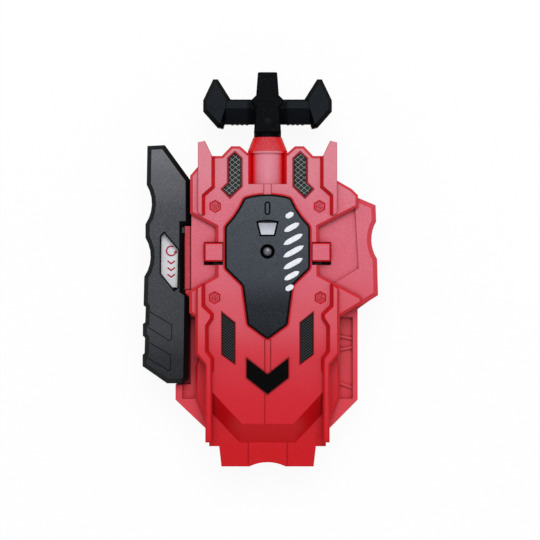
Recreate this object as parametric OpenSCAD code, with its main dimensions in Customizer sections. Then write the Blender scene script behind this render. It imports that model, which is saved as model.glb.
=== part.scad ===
// Hand-held string launcher for spinning tops, lying on its back.
// Millimetres. The launch axis is the Z axis, +Y points at the pull handle, and Z is zero
// on the surface that the launcher lies on. Tables of shares give places as parts of the
// named sizes: across in half widths of the case, along in reaches from the launch axis.

/* [Case] */
// Half width of the front cover at its flanks
half_w = 31; // [29:0.5:35]
// From the launch axis to the tips of the horns
front_reach = 44.4; // [43:0.5:50]
// From the launch axis to the feet of the rails
tail_reach = 77; // [72:1:90]
// Wall of the shells
wall = 2; // [1.6:0.1:2.4]
// Thickness of the front cover's face
face_t = 2.8; // [2.4:0.1:3.4]
// Room under the shallow half for the launch head
head_room = 9; // [8:0.5:12]
// Width of the bevel round the front cover's face
face_bevel = 1.1; // [0.6:0.1:1.4]
// Width of the bevel round the wing
wing_bevel = 1.9; // [1:0.1:2.2]
// Rise of the horn ridges above the face
horn_rise = 2; // [1:0.5:3]
// Rise of the rails above the face
rail_rise = 3; // [2:0.5:4]
// Depth of the hexagon recesses
hex_depth = 1.2; // [0.8:0.1:1.6]
// Radius of the hexagon recesses at their corners
hex_r = 2.6; // [2:0.1:3]
// Thickness of the tail tongue
tongue_t = 5; // [4:0.5:6]
// Gap between pieces that are assembled face to side
fit_gap = 0.2; // [0.15:0.05:0.3]

/* [Centre plate] */
// Rise of the plate above the face
plate_rise = 1.5; // [1:0.25:2]
// Depth of the plate's seat in the face
plate_seat = 1.4; // [1:0.1:1.8]
// Radius of the hole over the spindle
eye_r = 2.6; // [2.3:0.1:3.2]
// Thickness of the lattice pads
pad_t = 1.5; // [1:0.1:1.9]

/* [Neck and handle] */
// Radius of the neck barrel
barrel_r = 7.1; // [6.2:0.1:7.2]
// Radius of the collar at the barrel's mouth
collar_r = 8; // [7.4:0.1:8.4]
// Radius of the barrel's mouth
mouth_r = 5.8; // [5.6:0.1:6.6]
// Radius of the handle stem
stem_r = 4; // [3:0.1:4.4]
// Half width of the handle over its wings
handle_half = 26; // [22:0.5:30]
// Length of the handle along the pull
handle_len = 25.8; // [22:0.5:30]
// Thickness of the handle's centre bar
handle_t = 13; // [11:0.5:15]
// Diameter of the pull string
string_d = 1; // [0.8:0.1:1.2]

/* [Selector] */
// Width of the selector panel
panel_w = 19.4; // [18:0.5:22]
// Thickness of the selector panel
panel_t = 15; // [13:0.5:17]
// Travel of the selector panel
select_travel = 6; // [5:0.5:7]
// Width of the tongue that locks the carrier
lock_w = 2.2; // [1.8:0.1:2.6]

/* [Drive] */
// Gear module
gear_m = 0.8; // [0.76:0.01:0.84]
// Teeth of the sun gear and of each planet gear
sun_teeth = 15; // [15]
// Width of the gears
gear_w = 5; // [4:0.25:6]
// Backlash of each tooth
backlash = 0.12; // [0.08:0.02:0.16]
// Radius of the launch spindle
spindle_r = 3; // [2.6:0.1:3.2]
// Radius of the planet pins
pin_r = 1.5; // [1.2:0.1:1.8]
// Running clearance on radii
run_gap = 0.06; // [0.04:0.01:0.1]
// Running clearance between faces
end_gap = 0.3; // [0.2:0.05:0.4]
// Height of the mainspring's band
spring_h = 5; // [4:0.25:6]
// Thickness of the mainspring's band
spring_t = 0.6; // [0.4:0.1:0.7]
// Turns of the mainspring
spring_turns = 4; // [3:1:5]
// Thickness of the planet carrier
carrier_t = 2.2; // [1.8:0.1:3]
// Thickness of the reel's web and flanges
flange_t = 1.2; // [1:0.1:1.6]

/* [Launch head] */
// Outer radius of the launch head
head_r = 13; // [11.5:0.5:15]
// Radius of the hub that the top sits on
hub_r = 3; // [2.5:0.1:3.4]
// Number of prongs
prong_count = 3; // [2:1:4]

/* [Fasteners] */
// Radius of the screw shanks
screw_r = 1.5; // [1.2:0.1:1.7]
// Radius of the screw heads
screw_head_r = 2.8; // [2.4:0.1:3]

/* [Hidden] */
$fn = 64;

// Overrun of every cut past the face that it opens
cut = 1;
// Sink of a raised form into the piece that carries it
root = 0.8;
red = [0.86, 0.16, 0.22];
deep_red = [0.74, 0.10, 0.16];
black = [0.09, 0.09, 0.10];
plate_grey = [0.17, 0.18, 0.20];
metal = [0.70, 0.71, 0.73];
white = [0.94, 0.94, 0.92];

// Gears: an internal ring on the reel, three planets and a sun on the spindle
ring_teeth = 3 * sun_teeth;
pressure = 25;
sun_pitch = gear_m * sun_teeth / 2;
ring_pitch = gear_m * ring_teeth / 2;
planet_reach = 2 * sun_pitch;
tip_share = 0.92;
root_share = 1.2;

// Reel and string
drum_wall = 1.5;
drum_r = ring_pitch + root_share * gear_m + drum_wall;
flange_r = drum_r + 2 * string_d + end_gap;
room_r = flange_r + 2 * end_gap;

// Heights, from the launch head up
floor_z = head_room + wall;
shoulder_z = floor_z + end_gap + spring_h + end_gap;
web_z = shoulder_z + end_gap;
gear_z = web_z + flange_t + end_gap;
reel_top = gear_z + gear_w + end_gap;
carrier_z = reel_top + end_gap;
deck_under = carrier_z + carrier_t + end_gap;
deck_z = deck_under + wall;
cover_z = deck_z + fit_gap + face_t;
axis_z = gear_z + gear_w / 2 + string_d / 2;
part_z = axis_z;
head_web = 1.3 * wall;
hub_h = head_room - end_gap - head_web;
seat_z = hub_h + head_web / 3;

// Tail: the face drops to the tongue
tongue_z = part_z + tongue_t * 0.6;
tongue_low = tongue_z - tongue_t;

function place(s) = [s[0] * half_w, s[1] * (s[1] > 0 ? front_reach : tail_reach)];
function places(list) = [for (s = list) place(s)];
function flipped(points) = [for (i = [len(points) - 1 : -1 : 0]) [-points[i][0], points[i][1]]];
function along(share) = share * (share > 0 ? front_reach : tail_reach);

// Inset of a counter-clockwise outline: each corner moves in along its mitre
function unit(v) = v / norm(v);
function inward(a, b) = let (d = unit(b - a)) [-d[1], d[0]];
function corner_in(a, b, c, g) = let (n = inward(a, b), m = inward(b, c)) b + (n + m) * g / (1 + n * m);
function inset(p, g) = let (n = len(p))
    [for (i = [0 : n - 1]) corner_in(p[(i + n - 1) % n], p[i], p[(i + 1) % n], g)];

// Round stretch from a to b that rises by sag on the left of the way
function bow(a, b, sag, steps) =
    let (
        half = norm(b - a) / 2,
        r = (half * half + sag * sag) / (2 * abs(sag)),
        dir = unit(b - a),
        side = sign(sag) * [-dir[1], dir[0]],
        mid = (a + b) / 2 + side * (abs(sag) - r),
        turn = asin(half / r)
    )
    [for (i = [0 : steps]) let (t = -turn + 2 * turn * i / steps) mid + r * (side * cos(t) + dir * sin(t))];

// Solid through the same outline at several heights, each inset by its own amount
module layered(points, layers) {
    n = len(points);
    last = len(layers) - 1;
    rings = [for (l = layers) let (q = inset(points, l[1])) [for (p = q) [p[0], p[1], l[0]]]];
    sides = [for (k = [0 : last - 1]) for (i = [0 : n - 1])
        [k * n + i, (k + 1) * n + i, (k + 1) * n + (i + 1) % n, k * n + (i + 1) % n]];
    low = [for (i = [0 : n - 1]) i];
    high = [for (i = [n - 1 : -1 : 0]) last * n + i];
    polyhedron([for (r = rings) for (p = r) p], concat([low], sides, [high]));
}

module slab(points, low, high) {
    translate([0, 0, low]) linear_extrude(high - low) polygon(points);
}

// Cut that bevels an outline's edge: nothing at the height from, its full width at the height to.
// Its slant runs on past both heights, and a slight shift keeps its corners off the piece's own,
// so that it meets the piece only along clean lines.
bevel_shift = [0.021, 0.034];

module edge_bevel(points, from, to, width) {
    step = sign(to - from) * fit_gap;
    slope = width / (to - from);
    ends = to > from ? [from - step, to + step] : [to + step, from - step];
    m = max([for (p = points) norm(p)]) + wall;
    difference() {
        box([-m, -m, ends[0]], [m, m, ends[1]]);
        translate(bevel_shift) layered(points, [
            for (z = [ends[0] - fit_gap, ends[1] + fit_gap]) [z, slope * (z - from)]
        ]);
    }
}

module post(at, r, low, high) {
    translate([at[0], at[1], low]) cylinder(h = high - low, r = r);
}

module post_y(x, z, r, low, high) {
    translate([x, high, z]) rotate([90, 0, 0]) cylinder(h = high - low, r = r);
}

module box(low, high) {
    translate(low) cube(high - low);
}

// Selector panel, in shares of its own width outwards from the case's flank
function panel_place(s) = [-(half_w + s[0] * panel_w), s[1] * (s[1] > 0 ? front_reach : tail_reach)];
function panel_places(list) = [for (s = list) panel_place(s)];
side_share = 0.14;
panel_side = half_w + side_share * panel_w;
panel_top = deck_z - 0.6 * wall;
panel_low = panel_top - panel_t;
panel_bevel = 1.8;
panel_skin = 1.8;
panel_foot = 0.8;
window_edge = 0.6;
back_low = panel_low + panel_foot;
back_high = back_low + wall;
groove_w = 0.4;
card_t = 0.5;
notch_share = 0.12;
top_edge_shares = [[0.54, 0.968], [0.9, 0.96]];
notch_shares = [[[0.915, 0.608], [0.94, 0.25]], [[0.94, 0.126], [0.965, -0.131]]];
low_edge_shares = [
    [0.98, -0.28], [0.935, -0.291], [0.945, -0.37], [0.995, -0.378], [0.995, -0.44], [0.95, -0.452],
    [0.96, -0.532], [1, -0.54], [1, -0.6], [0.49, -0.69], [0.17, -0.69], [0.06, -0.67], [0.035, -0.218],
    [side_share, -0.2], [side_share, 0.235], [0.01, 0.235], [0.01, 0.65]
];
window_shares = [
    [0.545, 0.164], [0.605, 0.135], [0.612, -0.114], [0.335, -0.201], [0.275, -0.188], [0.26, 0.014]
];
plate_one_shares = [[0.99, -0.291], [0.99, -0.378], [0.44, -0.465], [0.39, -0.457], [0.39, -0.383]];
plate_two_shares = [[1.01, -0.452], [1.01, -0.537], [0.45, -0.624], [0.41, -0.612], [0.41, -0.541]];
panel_screw_shares = [[0.5, 0.7], [0.5, -0.55]];
card_shares = [0.2, 0.7];
panel_notches = [
    for (n = notch_shares) for (p = bow(panel_place(n[0]), panel_place(n[1]), notch_share * panel_w, 6)) p
];
panel_outline = concat(panel_places(top_edge_shares), panel_notches, panel_places(low_edge_shares));
panel_screw_r = 0.8 * screw_r;
panel_head_r = 0.8 * screw_head_r;
panel_head_t = 0.6 * screw_r;

// Outlines of the case
neck_half_share = 0.25;
eyelet_drop = 0.6 * string_d;
pocket_in = room_r + wall + eyelet_drop + string_d;
pocket_out_share = 0.905;
neck_side_shares = [[-0.25, 0.885], [-0.355, 0.95], [-0.47, 0.95], [-0.59, 0.862]];
shoulder_left_shares = [[-0.9, 0.765], [-1, 0.685]];
horn_side_shares = [[-0.715, 0.862], [-0.81, 1], [-0.9, 0.985]];
front_left_shares = concat(neck_side_shares, horn_side_shares, shoulder_left_shares);
plain_left_shares = concat(neck_side_shares, [[-0.9, 0.862]], shoulder_left_shares);
waist_left_shares = [[-1, 0.342], [-0.668, 0.22]];
waist_right_shares = [[0.66, 0.22], [1.17, 0.402]];
flank_right_shares = [[1.17, 0.508], [1.09, 0.563], [0.9, 0.64]];
low_left_shares = [
    [-0.665, -0.127], [-1.01, -0.205], [-1.01, -0.32], [-0.935, -0.342], [-0.935, -0.535], [-0.8, -0.592]
];
low_right_shares = [
    [0.8, -0.592], [0.935, -0.535], [0.935, -0.338], [1.22, -0.27], [1.22, -0.238], [0.665, -0.121]
];
front_top = places(front_left_shares);
horn_right = [for (i = [0 : 6]) flipped(front_top)[i + 2]];
tail_left_shares = [[-0.76, -0.6], [-0.76, -1.02]];
tail_left = places(tail_left_shares);
plain_right = [for (i = [0 : 4]) flipped(places(plain_left_shares))[i + 2]];
upper_plain = concat(
    places(plain_left_shares), places(waist_left_shares), places(waist_right_shares),
    places(flank_right_shares), plain_right
);
low_end_shares = [[-0.8, -0.72], [0.8, -0.72]];
wing_foot_shares = [[1.235, -0.259], [0.665, -0.121]];
low_plain = places(concat(
    low_left_shares, low_end_shares, [for (i = [0 : 2]) low_right_shares[i]], wing_foot_shares
));
face_outline = concat(
    front_top, places(waist_left_shares), places(low_left_shares), tail_left, flipped(tail_left),
    places(low_right_shares), places(waist_right_shares), places(flank_right_shares), horn_right
);

// Mid frame: waist band with the strip for the selector and the wing
strip_shares = [1.068, 0.23, -0.195];
wing_notch_shares = [[1.422, -0.038], [1.41, 0.272]];
wing_sag_share = 0.068;
wing_notch = bow(place(wing_notch_shares[0]), place(wing_notch_shares[1]), wing_sag_share * half_w, 8);
frame_left_shares = [[-0.64, 0.262], [-0.985, 0.38]];
frame_strip_shares = [
    [-0.985, strip_shares[1]], [-strip_shares[0], strip_shares[1]], [-strip_shares[0], strip_shares[2]],
    [-0.985, strip_shares[2]]
];
frame_low_shares = [
    [-0.985, -0.232], [-0.64, -0.152], [0.62, -0.152], [1.18, -0.292], [1.435, -0.228]
];
frame_right_shares = [[1.403, 0.42], [1.165, 0.49], [1.165, 0.445], [0.64, 0.262]];
frame_room_shares = [[1.403, 0.42], [1.15, 0.44], [0.64, 0.262]];
frame_outline = concat(
    places(frame_left_shares), places(frame_strip_shares), places(frame_low_shares), wing_notch,
    places(frame_right_shares)
);
frame_plain = concat(
    places(frame_left_shares), places(frame_low_shares), wing_notch, places(frame_room_shares)
);
tongue_shares = [[-0.645, -0.965], [-0.6, -1.126], [-0.235, -1.126]];
tongue_sag_share = 0.055;
tongue_left = places(tongue_shares);
tongue_notch = bow(tongue_left[2], flipped(tongue_left)[0], tongue_sag_share * half_w, 8);
tongue_outline = concat(tongue_left, [for (i = [1 : 7]) tongue_notch[i]], flipped(tongue_left));

rail_shares = [
    [0.715, -0.99], [0.8, -0.99], [0.8, -0.587], [0.915, -0.53], [0.915, -0.19], [0.83, -0.163],
    [0.83, -0.283], [0.72, -0.326], [0.72, -0.347], [0.785, -0.387], [0.785, -0.518], [0.715, -0.557]
];
horn_shares = [
    [0.9, 0.35], [0.9, 0.985], [0.81, 1], [0.715, 0.865], [0.715, 0.585], [0.84, 0.508], [0.84, 0.316]
];
rail_outline = places(rail_shares);
horn_outline = places(horn_shares);
screw_shares = [
    [-0.675, 0.406], [0.672, 0.406], [-0.682, -0.24], [0.682, -0.24], [-0.42, -0.7], [0.42, -0.7]
];
boss_r = screw_r + 0.95 * wall;

module mirrored_x() {
    children();
    mirror([1, 0, 0]) children();
}

// Room under the front face: two lobes that leave the neck's pocket and the screw bosses standing
module cover_room() {
    neck = neck_half_share * half_w + wall;
    difference() {
        union() {
            slab(inset(upper_plain, wall), part_z - cut, deck_z + fit_gap);
            slab(inset(low_plain, wall), part_z - cut, deck_z + fit_gap);
        }
        box(
            [-neck, pocket_in - wall, part_z - 2 * cut],
            [neck, along(pocket_out_share), cover_z]
        );
        for (i = [0 : 3]) {
            post(place(screw_shares[i]), boss_r, part_z - 2 * cut, cover_z);
        }
    }
    post([0, 0], room_r, part_z - cut, deck_z + fit_gap);
}

// Cuts that bring the face down to the tongue: one across the tail and one at each corner
tail_drop_shares = [-0.896, -1];
corner_shares = [[-0.715, -0.73], [-0.33, -0.896]];
corner_run_share = 0.082;

module slope_prism(run, width, low) {
    far = tail_reach;
    rotate([90, 0, 90]) translate([0, 0, -width]) linear_extrude(2 * width) polygon([
        [0, cover_z], [run, low], [far, low], [far, cover_z + 2 * cut],
        [-run * 2 * cut / (cover_z - low), cover_z + 2 * cut]
    ]);
}

module tail_slopes() {
    translate([0, along(tail_drop_shares[0]), 0]) mirror([0, 1, 0])
        slope_prism(along(tail_drop_shares[0]) - along(tail_drop_shares[1]), half_w, tongue_z);
    mirrored_x() {
        a = place(corner_shares[0]);
        b = place(corner_shares[1]);
        translate([a[0], a[1], 0]) rotate([0, 0, atan2(b[1] - a[1], b[0] - a[0])]) mirror([0, 1, 0])
            slope_prism(corner_run_share * tail_reach, half_w, tongue_z - fit_gap / 2);
    }
}

plate_left_shares = [
    [-0.3, 0.484], [-0.365, 0.392], [-0.44, 0.313], [-0.55, 0.225], [-0.55, -0.088], [-0.325, -0.177],
    [-0.26, -0.38], [0, -0.457]
];
plate_left = places(plate_left_shares);
plate_sag_share = 0.045;
plate_top = bow(flipped(plate_left)[len(plate_left) - 1], plate_left[0], plate_sag_share * half_w, 6);
plate_outline = concat(
    plate_left, [for (i = [1 : 7]) flipped(plate_left)[i]], [for (i = [1 : 5]) plate_top[i]]
);
fan_shares = [0.132, 0.09, 0.265, 0.144];
fan_sag_share = 0.016;
fan_outline = concat(
    bow(
        place([fan_shares[0], fan_shares[2]]), place([-fan_shares[0], fan_shares[2]]),
        fan_sag_share * half_w, 6
    ),
    places([[-fan_shares[1], fan_shares[3]], [fan_shares[1], fan_shares[3]]])
);
upper_pad_shares = [
    [-0.422, 0.89], [-0.502, 0.838], [-0.502, 0.617], [-0.58, 0.563], [-0.484, 0.493], [-0.342, 0.59],
    [-0.342, 0.838]
];
lower_pad_shares = [[-0.587, -0.317], [-0.587, -0.534], [-0.424, -0.582], [-0.424, -0.37]];
chevron_shares = [
    [-0.268, -0.555], [-0.268, -0.655], [0, -0.74], [0.268, -0.655], [0.268, -0.555], [0, -0.639]
];
upper_pad = places(upper_pad_shares);
lower_pad = places(lower_pad_shares);
chevron = places(chevron_shares);
clip_shares = [0.575, 0.815, 0.079, -0.052];
clip_low = along(clip_shares[3]);
clip_high = along(clip_shares[2]);
clip_in = clip_shares[0] * half_w;
clip_out = clip_shares[1] * half_w;

plate_edge = -plate_left_shares[3][0] * half_w;
plate_low = cover_z - plate_seat;
foot_high = plate_low + 0.4 * wall;

// Slot of a clip, with the channel for its foot
module clip_slot() {
    box(
        [clip_in, clip_low - 7 * fit_gap, deck_under - cut],
        [clip_out + 1.5 * fit_gap, clip_high + 1.5 * fit_gap, cover_z + cut]
    );
    box([plate_edge, clip_low - fit_gap, plate_low], [clip_in + cut, clip_high + fit_gap, cover_z + cut]);
}

module ridge(points, low, high, bevel) {
    difference() {
        slab(points, low, high);
        edge_bevel(points, high - bevel, high, bevel);
    }
}

module front_cover() {
    neck = neck_half_share * half_w;
    color(red) difference() {
        union() {
            difference() {
                slab(face_outline, part_z, cover_z);
                edge_bevel(face_outline, cover_z - face_bevel * 0.8, cover_z, face_bevel);
                cover_room();
                tail_slopes();
            }
            slab(tongue_outline, tongue_low, tongue_z);
            box(
                [-spine_half_share * half_w, along(spine_low_share), cover_z - root],
                [spine_half_share * half_w, pocket_in + root, cover_z + 2 * fit_gap]
            );
            mirrored_x() {
                ridge(rail_outline, part_z + fit_gap, cover_z + rail_rise, face_bevel * 0.6);
                ridge(inset(horn_outline, fit_gap), cover_z - root, cover_z + horn_rise, face_bevel * 0.5);
            }
        }
        slab(inset(frame_outline, -fit_gap), part_z - cut, deck_z + fit_gap);
        box([-neck, pocket_in, part_z - cut], [neck, front_reach, cover_z + cut]);
        post_y(0, axis_z, string_d, pocket_in - wall - cut, pocket_in + cut);
        tail_cavity();
        slab(inset(plate_outline, -fit_gap), plate_low, cover_z + cut);
        translate([0, 0, deck_z]) cylinder(h = face_t + cut, r = eye_r + fit_gap);
        slab(fan_outline, deck_z, cover_z + cut);
        mirrored_x() {
            slab(inset(upper_pad, -fit_gap), cover_z - pad_t, cover_z + cut);
            slab(inset(lower_pad, -fit_gap), cover_z - pad_t, cover_z + cut);
            clip_slot();
        }
        slab(inset(chevron, -fit_gap), cover_z - pad_t, cover_z + cut);
        for (i = [0 : 3]) {
            hex_recess(place(screw_shares[i]));
        }
        for (s = screw_shares) {
            post(place(s), screw_r, part_z - cut, part_z + screw_bite);
        }
        seams();
    }
}

screw_bite = (deck_z - part_z) * 0.8;
spine_half_share = 0.043;
spine_low_share = 0.49;

module hex_recess(at) {
    translate([at[0], at[1], cover_z - hex_depth]) rotate([0, 0, 30])
        cylinder(h = hex_depth + cut, r = hex_r, $fn = 6);
}

// Room inside the tail, behind the rails
tail_room_shares = [
    [-0.62, -0.58], [-0.62, -0.66], [-0.28, -0.82], [0.28, -0.82], [0.62, -0.66], [0.62, -0.58],
    [0.52, -0.55], [-0.52, -0.55]
];

module tail_cavity() {
    slab(places(tail_room_shares), part_z - cut, part_z + (cover_z - part_z) * 0.3);
}

// Fine centre grooves of the lower face and of the tongue: x, low y, high y
seam_w = 0.4;
face_seam_shares = [[-0.042, -0.63, -0.45], [0.034, -0.63, -0.45], [-0.042, -0.895, -0.74]];
tongue_seam_shares = [-0.258, 0.25];

module seams() {
    for (s = face_seam_shares) {
        x = s[0] * half_w;
        box([x, along(s[1]), cover_z - seam_w], [x + seam_w, along(s[2]), cover_z + cut]);
    }
    for (s = tongue_seam_shares) {
        x = s * half_w;
        box([x, tongue_left[1][1] - cut, tongue_z - seam_w], [x + seam_w, -tail_reach, tongue_z + cut]);
    }
}

// Arm that carries the direction card into the selector panel, with stops at its end
arm_shares = [-0.187, 0.17];
arm_low = along(arm_shares[0]);
arm_high = along(arm_shares[1]);
arm_z = part_z + wall;
arm_stop = 0.75 * wall;
arm_end = panel_side + panel_bevel + select_travel + fit_gap + arm_stop;

// Tongue of the selector and its slots
lock_share = 0.195;
lock_y = along(lock_share);
lock_z = carrier_z + fit_gap;
lock_t = carrier_t - 2 * fit_gap;

module lock_bar(from, to, gap) {
    box(
        [-from, lock_y - lock_w / 2 - gap, lock_z - gap],
        [-to, lock_y + lock_w / 2 + gap, lock_z + lock_t + gap]
    );
}

recess_depth = 1;
wing_far_shares = [[-1.3, 0.65], [-1.3, -0.433], [0.62, -0.433], [1.435, -0.228]];
wing_near_shares = [[1.403, 0.42], [0.62, 0.65]];
wing_edge = concat(places(wing_far_shares), wing_notch, places(wing_near_shares));
recess_shares = [[0.6, 0.232], [1.135, 0.395], [1.18, -0.087], [0.865, -0.165], [0.6, -0.115]];

module mid_frame() {
    color(red) difference() {
        union() {
            difference() {
                slab(frame_outline, part_z, deck_z);
                edge_bevel(wing_edge, deck_z - wing_bevel * 0.7, deck_z, wing_bevel);
            }
            box([-arm_end, arm_low, part_z], [-1.04 * half_w, arm_high, arm_z]);
            box([-arm_end, arm_low - wall / 2, part_z], [arm_stop - arm_end, arm_high + wall / 2, arm_z]);
        }
        slab(inset(frame_plain, wall), part_z - cut, deck_under);
        translate([0, 0, part_z - cut]) cylinder(h = deck_under - part_z + cut, r = room_r);
        slab(places(recess_shares), deck_z - recess_depth, deck_z + cut);
        translate([0, 0, deck_under - cut]) cylinder(h = wall + 2 * cut, r = bush_r);
        lock_bar(1.2 * half_w, room_r / 2, fit_gap);
        mirrored_x() {
            clip_slot();
        }
        box(
            [-half_w - 0.6 * fit_gap, along(strip_shares[2]) - cut, deck_z - recess_depth],
            [-half_w + 1.6 * fit_gap, along(strip_shares[1]) + cut, deck_z + cut]
        );
    }
}

bush_r = spindle_r + wall;

// Back cover: shallow half over the launch head and a deep half that the launcher lies on
back_left_shares = [
    [-1, 0.23], [-1.068, 0.23], [-1.068, -0.195], [-1.01, -0.195], [-1.01, -0.31]
];
back_low_shares = [[1.15, -0.31], [1.435, -0.228]];
back_right_shares = [[1.403, 0.42], [1.17, 0.492], [1.09, 0.563], [0.9, 0.64]];
back_room_shares = [[1.403, 0.42], [0.9, 0.64]];
back_upper = concat(
    front_top, places(back_left_shares), places(back_low_shares), wing_notch, places(back_right_shares),
    horn_right
);
back_plain = concat(
    places(plain_left_shares), [place([-1, -0.31])], places(back_low_shares), wing_notch,
    places(back_room_shares), plain_right
);
block_shares = [
    [-1.205, -0.292], [-1.205, -0.78], [-0.8, -0.935], [0.8, -0.935], [1.18, -0.78], [1.18, -0.292]
];
block_front_share = -0.42;
block_front = along(block_front_share);
bench_left_shares = [[-0.93, -0.27], [-0.93, -0.54], [-0.795, -0.6], [-0.795, -0.935]];
deep_left_shares = [[-0.83, -0.25], [-0.83, -0.53], [-0.7, -0.585], [-0.7, -0.88]];
pocket_depth = 2.6;
rim_drop = 1.6;

// Walls that cradle the neck barrel
cradle_places = [pocket_in + 1.2 * wall, along(0.78)];

module back_cover() {
    neck = neck_half_share * half_w;
    color(deep_red) difference() {
        union() {
            difference() {
                union() {
                    difference() {
                        slab(back_upper, head_room, part_z);
                        edge_bevel(back_upper, head_room + wing_bevel * 0.5, head_room, wing_bevel * 0.5);
                    }
                    deep_block();
                }
                slab(inset(back_plain, wall), floor_z, part_z + cut);
                deep_room();
            }
            for (s = screw_shares) {
                post(place(s), boss_r + fit_gap, s[1] < -0.4 ? wall : head_room + root, part_z);
            }
            for (y = cradle_places) {
                box([-neck - wall, y, floor_z - root], [neck + wall, y + wall, part_z]);
            }
            side_ribs();
            translate([0, 0, head_room - wall]) difference() {
                cylinder(h = 2 * wall, r = head_r + 2 * wall);
                translate([0, 0, -cut]) cylinder(h = wall + cut, r = head_r + 3 * end_gap);
            }
        }
        post_y(0, axis_z, barrel_r + run_gap, pocket_in, front_reach);
        post_y(0, axis_z, collar_r + fit_gap, along(pocket_out_share) - wall, front_reach);
        translate([0, 0, head_room - wall - cut]) cylinder(h = 3 * wall + 2 * cut, r = bush_r);
        for (s = screw_shares) {
            low = s[1] < -0.4 ? 0 : head_room;
            post(place(s), screw_r + run_gap, low - cut, part_z + cut);
            post(place(s), screw_head_r + fit_gap, low - cut, low + 2 * wall);
        }
    }
}

// Block with a rim and side pockets, lower under the selector panel
bed_share = -0.7;

module deep_block() {
    difference() {
        slab(places(block_shares), 0, part_z - rim_drop);
        edge_bevel(places(block_shares), 1.2 * wall, 0, 1.2 * wall);
        mirrored_x() {
            box(
                [0.945 * half_w, along(-0.775), part_z - rim_drop - pocket_depth],
                [1.115 * half_w, along(-0.345), part_z + cut]
            );
        }
        box([-2 * half_w, along(bed_share), panel_low - end_gap], [-1.01 * half_w, 0, part_z + cut]);
        box([-2 * half_w, block_front, -cut], [2 * half_w, along(-0.2), head_room]);
    }
    slab(
        concat(places(bench_left_shares), flipped(places(bench_left_shares))),
        part_z - 2 * rim_drop, part_z
    );
}

// Room inside the deep half, open to the front
module deep_room() {
    room = places(deep_left_shares);
    slab(concat(room, flipped(room)), floor_z, part_z + cut);
    box([room[3][0], room[3][1], wall], [-room[3][0], block_front - wall, part_z - cut]);
}

// Ribs across the open side pocket
rib_shares = [[-0.452, -0.466], [-0.525, -0.51], [-0.7, -0.725]];

module side_ribs() {
    low = part_z - rim_drop - pocket_depth - root;
    for (s = rib_shares) {
        a = [0.94 * half_w, along(s[0])];
        b = [1.12 * half_w, along(s[1])];
        slab([a, b, b + [0, wall / 2], a + [0, wall / 2]], low, part_z - 2 * rim_drop);
    }
}

// Neck barrel: half in the front cover's pocket, with a collar outside it
barrel_in = pocket_in + fit_gap;
neck_shares = [0.8, 0.915, 1.04];
stem_end = along(neck_shares[0]);
collar_y = along(neck_shares[1]);
mouth_y = along(neck_shares[2]);

module neck_barrel() {
    color(red) translate([0, mouth_y, axis_z]) rotate([90, 0, 0]) difference() {
        union() {
            cylinder(h = mouth_y - collar_y, r1 = mouth_r, r2 = collar_r);
            translate([0, 0, mouth_y - collar_y]) cylinder(h = wall / 2, r = collar_r);
            translate([0, 0, mouth_y - collar_y]) cylinder(h = collar_y - barrel_in, r = barrel_r);
        }
        translate([0, 0, -cut]) cylinder(h = mouth_y - stem_end + wall + cut, r = stem_r + run_gap);
        cylinder(h = mouth_y - barrel_in + cut, r = 2 * string_d);
    }
}

eyelet_y = pocket_in - wall - eyelet_drop;

module string_eyelet() {
    color(metal) translate([0, barrel_in + wall, axis_z]) rotate([90, 0, 0]) difference() {
        union() {
            cylinder(h = wall + fit_gap, r = 2 * string_d - run_gap);
            translate([0, 0, wall + fit_gap]) cylinder(h = wall, r = string_d - run_gap);
        }
        translate([0, 0, -cut]) cylinder(h = 3 * wall + cut, r = string_d * 0.6);
    }
}

// Engraved slot at the top of the plate
slot_shares = [0.33, 0.448];
slot_r_share = 0.035;
slot_z = cover_z + plate_rise * 0.6;

module center_plate() {
    color(plate_grey) difference() {
        layered(plate_outline, [
            [plate_low, 0], [cover_z + plate_rise * 0.4, 0],
            [cover_z + plate_rise, face_bevel * 0.8]
        ]);
        post([0, 0], eye_r, plate_low - cut, cover_z + plate_rise + cut);
        slab(fan_outline, plate_low - cut, cover_z + plate_rise + cut);
        hull() {
            for (s = slot_shares) {
                post([0, along(s)], slot_r_share * half_w, slot_z, slot_z + plate_rise);
            }
        }
        mirrored_x() {
            box(
                [plate_edge - root - fit_gap, clip_low - fit_gap, plate_low - cut],
                [plate_edge + cut, clip_high + fit_gap, foot_high + fit_gap]
            );
        }
    }
}

module window_lens() {
    color([0.72, 0.74, 0.78])
        slab(inset(fan_outline, fit_gap / 2), deck_z + fit_gap, cover_z + plate_rise * 0.3);
}

module lattice_pad(points) {
    color(black) slab(points, cover_z - pad_t, cover_z + fit_gap);
}

module upper_pad_left() {
    lattice_pad(upper_pad);
}

module upper_pad_right() {
    lattice_pad(flipped(upper_pad));
}

module lower_pad_left() {
    lattice_pad(lower_pad);
}

module lower_pad_right() {
    lattice_pad(flipped(lower_pad));
}

module chevron_inlay() {
    color(black) layered(chevron, [
        [cover_z - pad_t, 0], [cover_z + fit_gap, 0], [cover_z + 3 * fit_gap, 2 * fit_gap]
    ]);
}

// Clip of the centre plate: a pad in a slot with a foot that goes under the plate
module plate_clip() {
    inner = plate_edge - root;
    outline = [[inner, clip_low], [clip_out, clip_low], [clip_out, clip_high], [inner, clip_high]];
    difference() {
        layered(outline, [[deck_under, 0], [cover_z + fit_gap, 0], [cover_z + 4 * fit_gap, 3 * fit_gap]]);
        for (z = [[deck_under - cut, plate_low], [foot_high, cover_z + rail_rise]]) {
            box([inner - cut, clip_low - cut, z[0]], [clip_in + fit_gap, clip_high + cut, z[1]]);
        }
    }
}

module plate_clip_right() {
    color(red) plate_clip();
}

module plate_clip_left() {
    color(red) mirror([1, 0, 0]) plate_clip();
}

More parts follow.
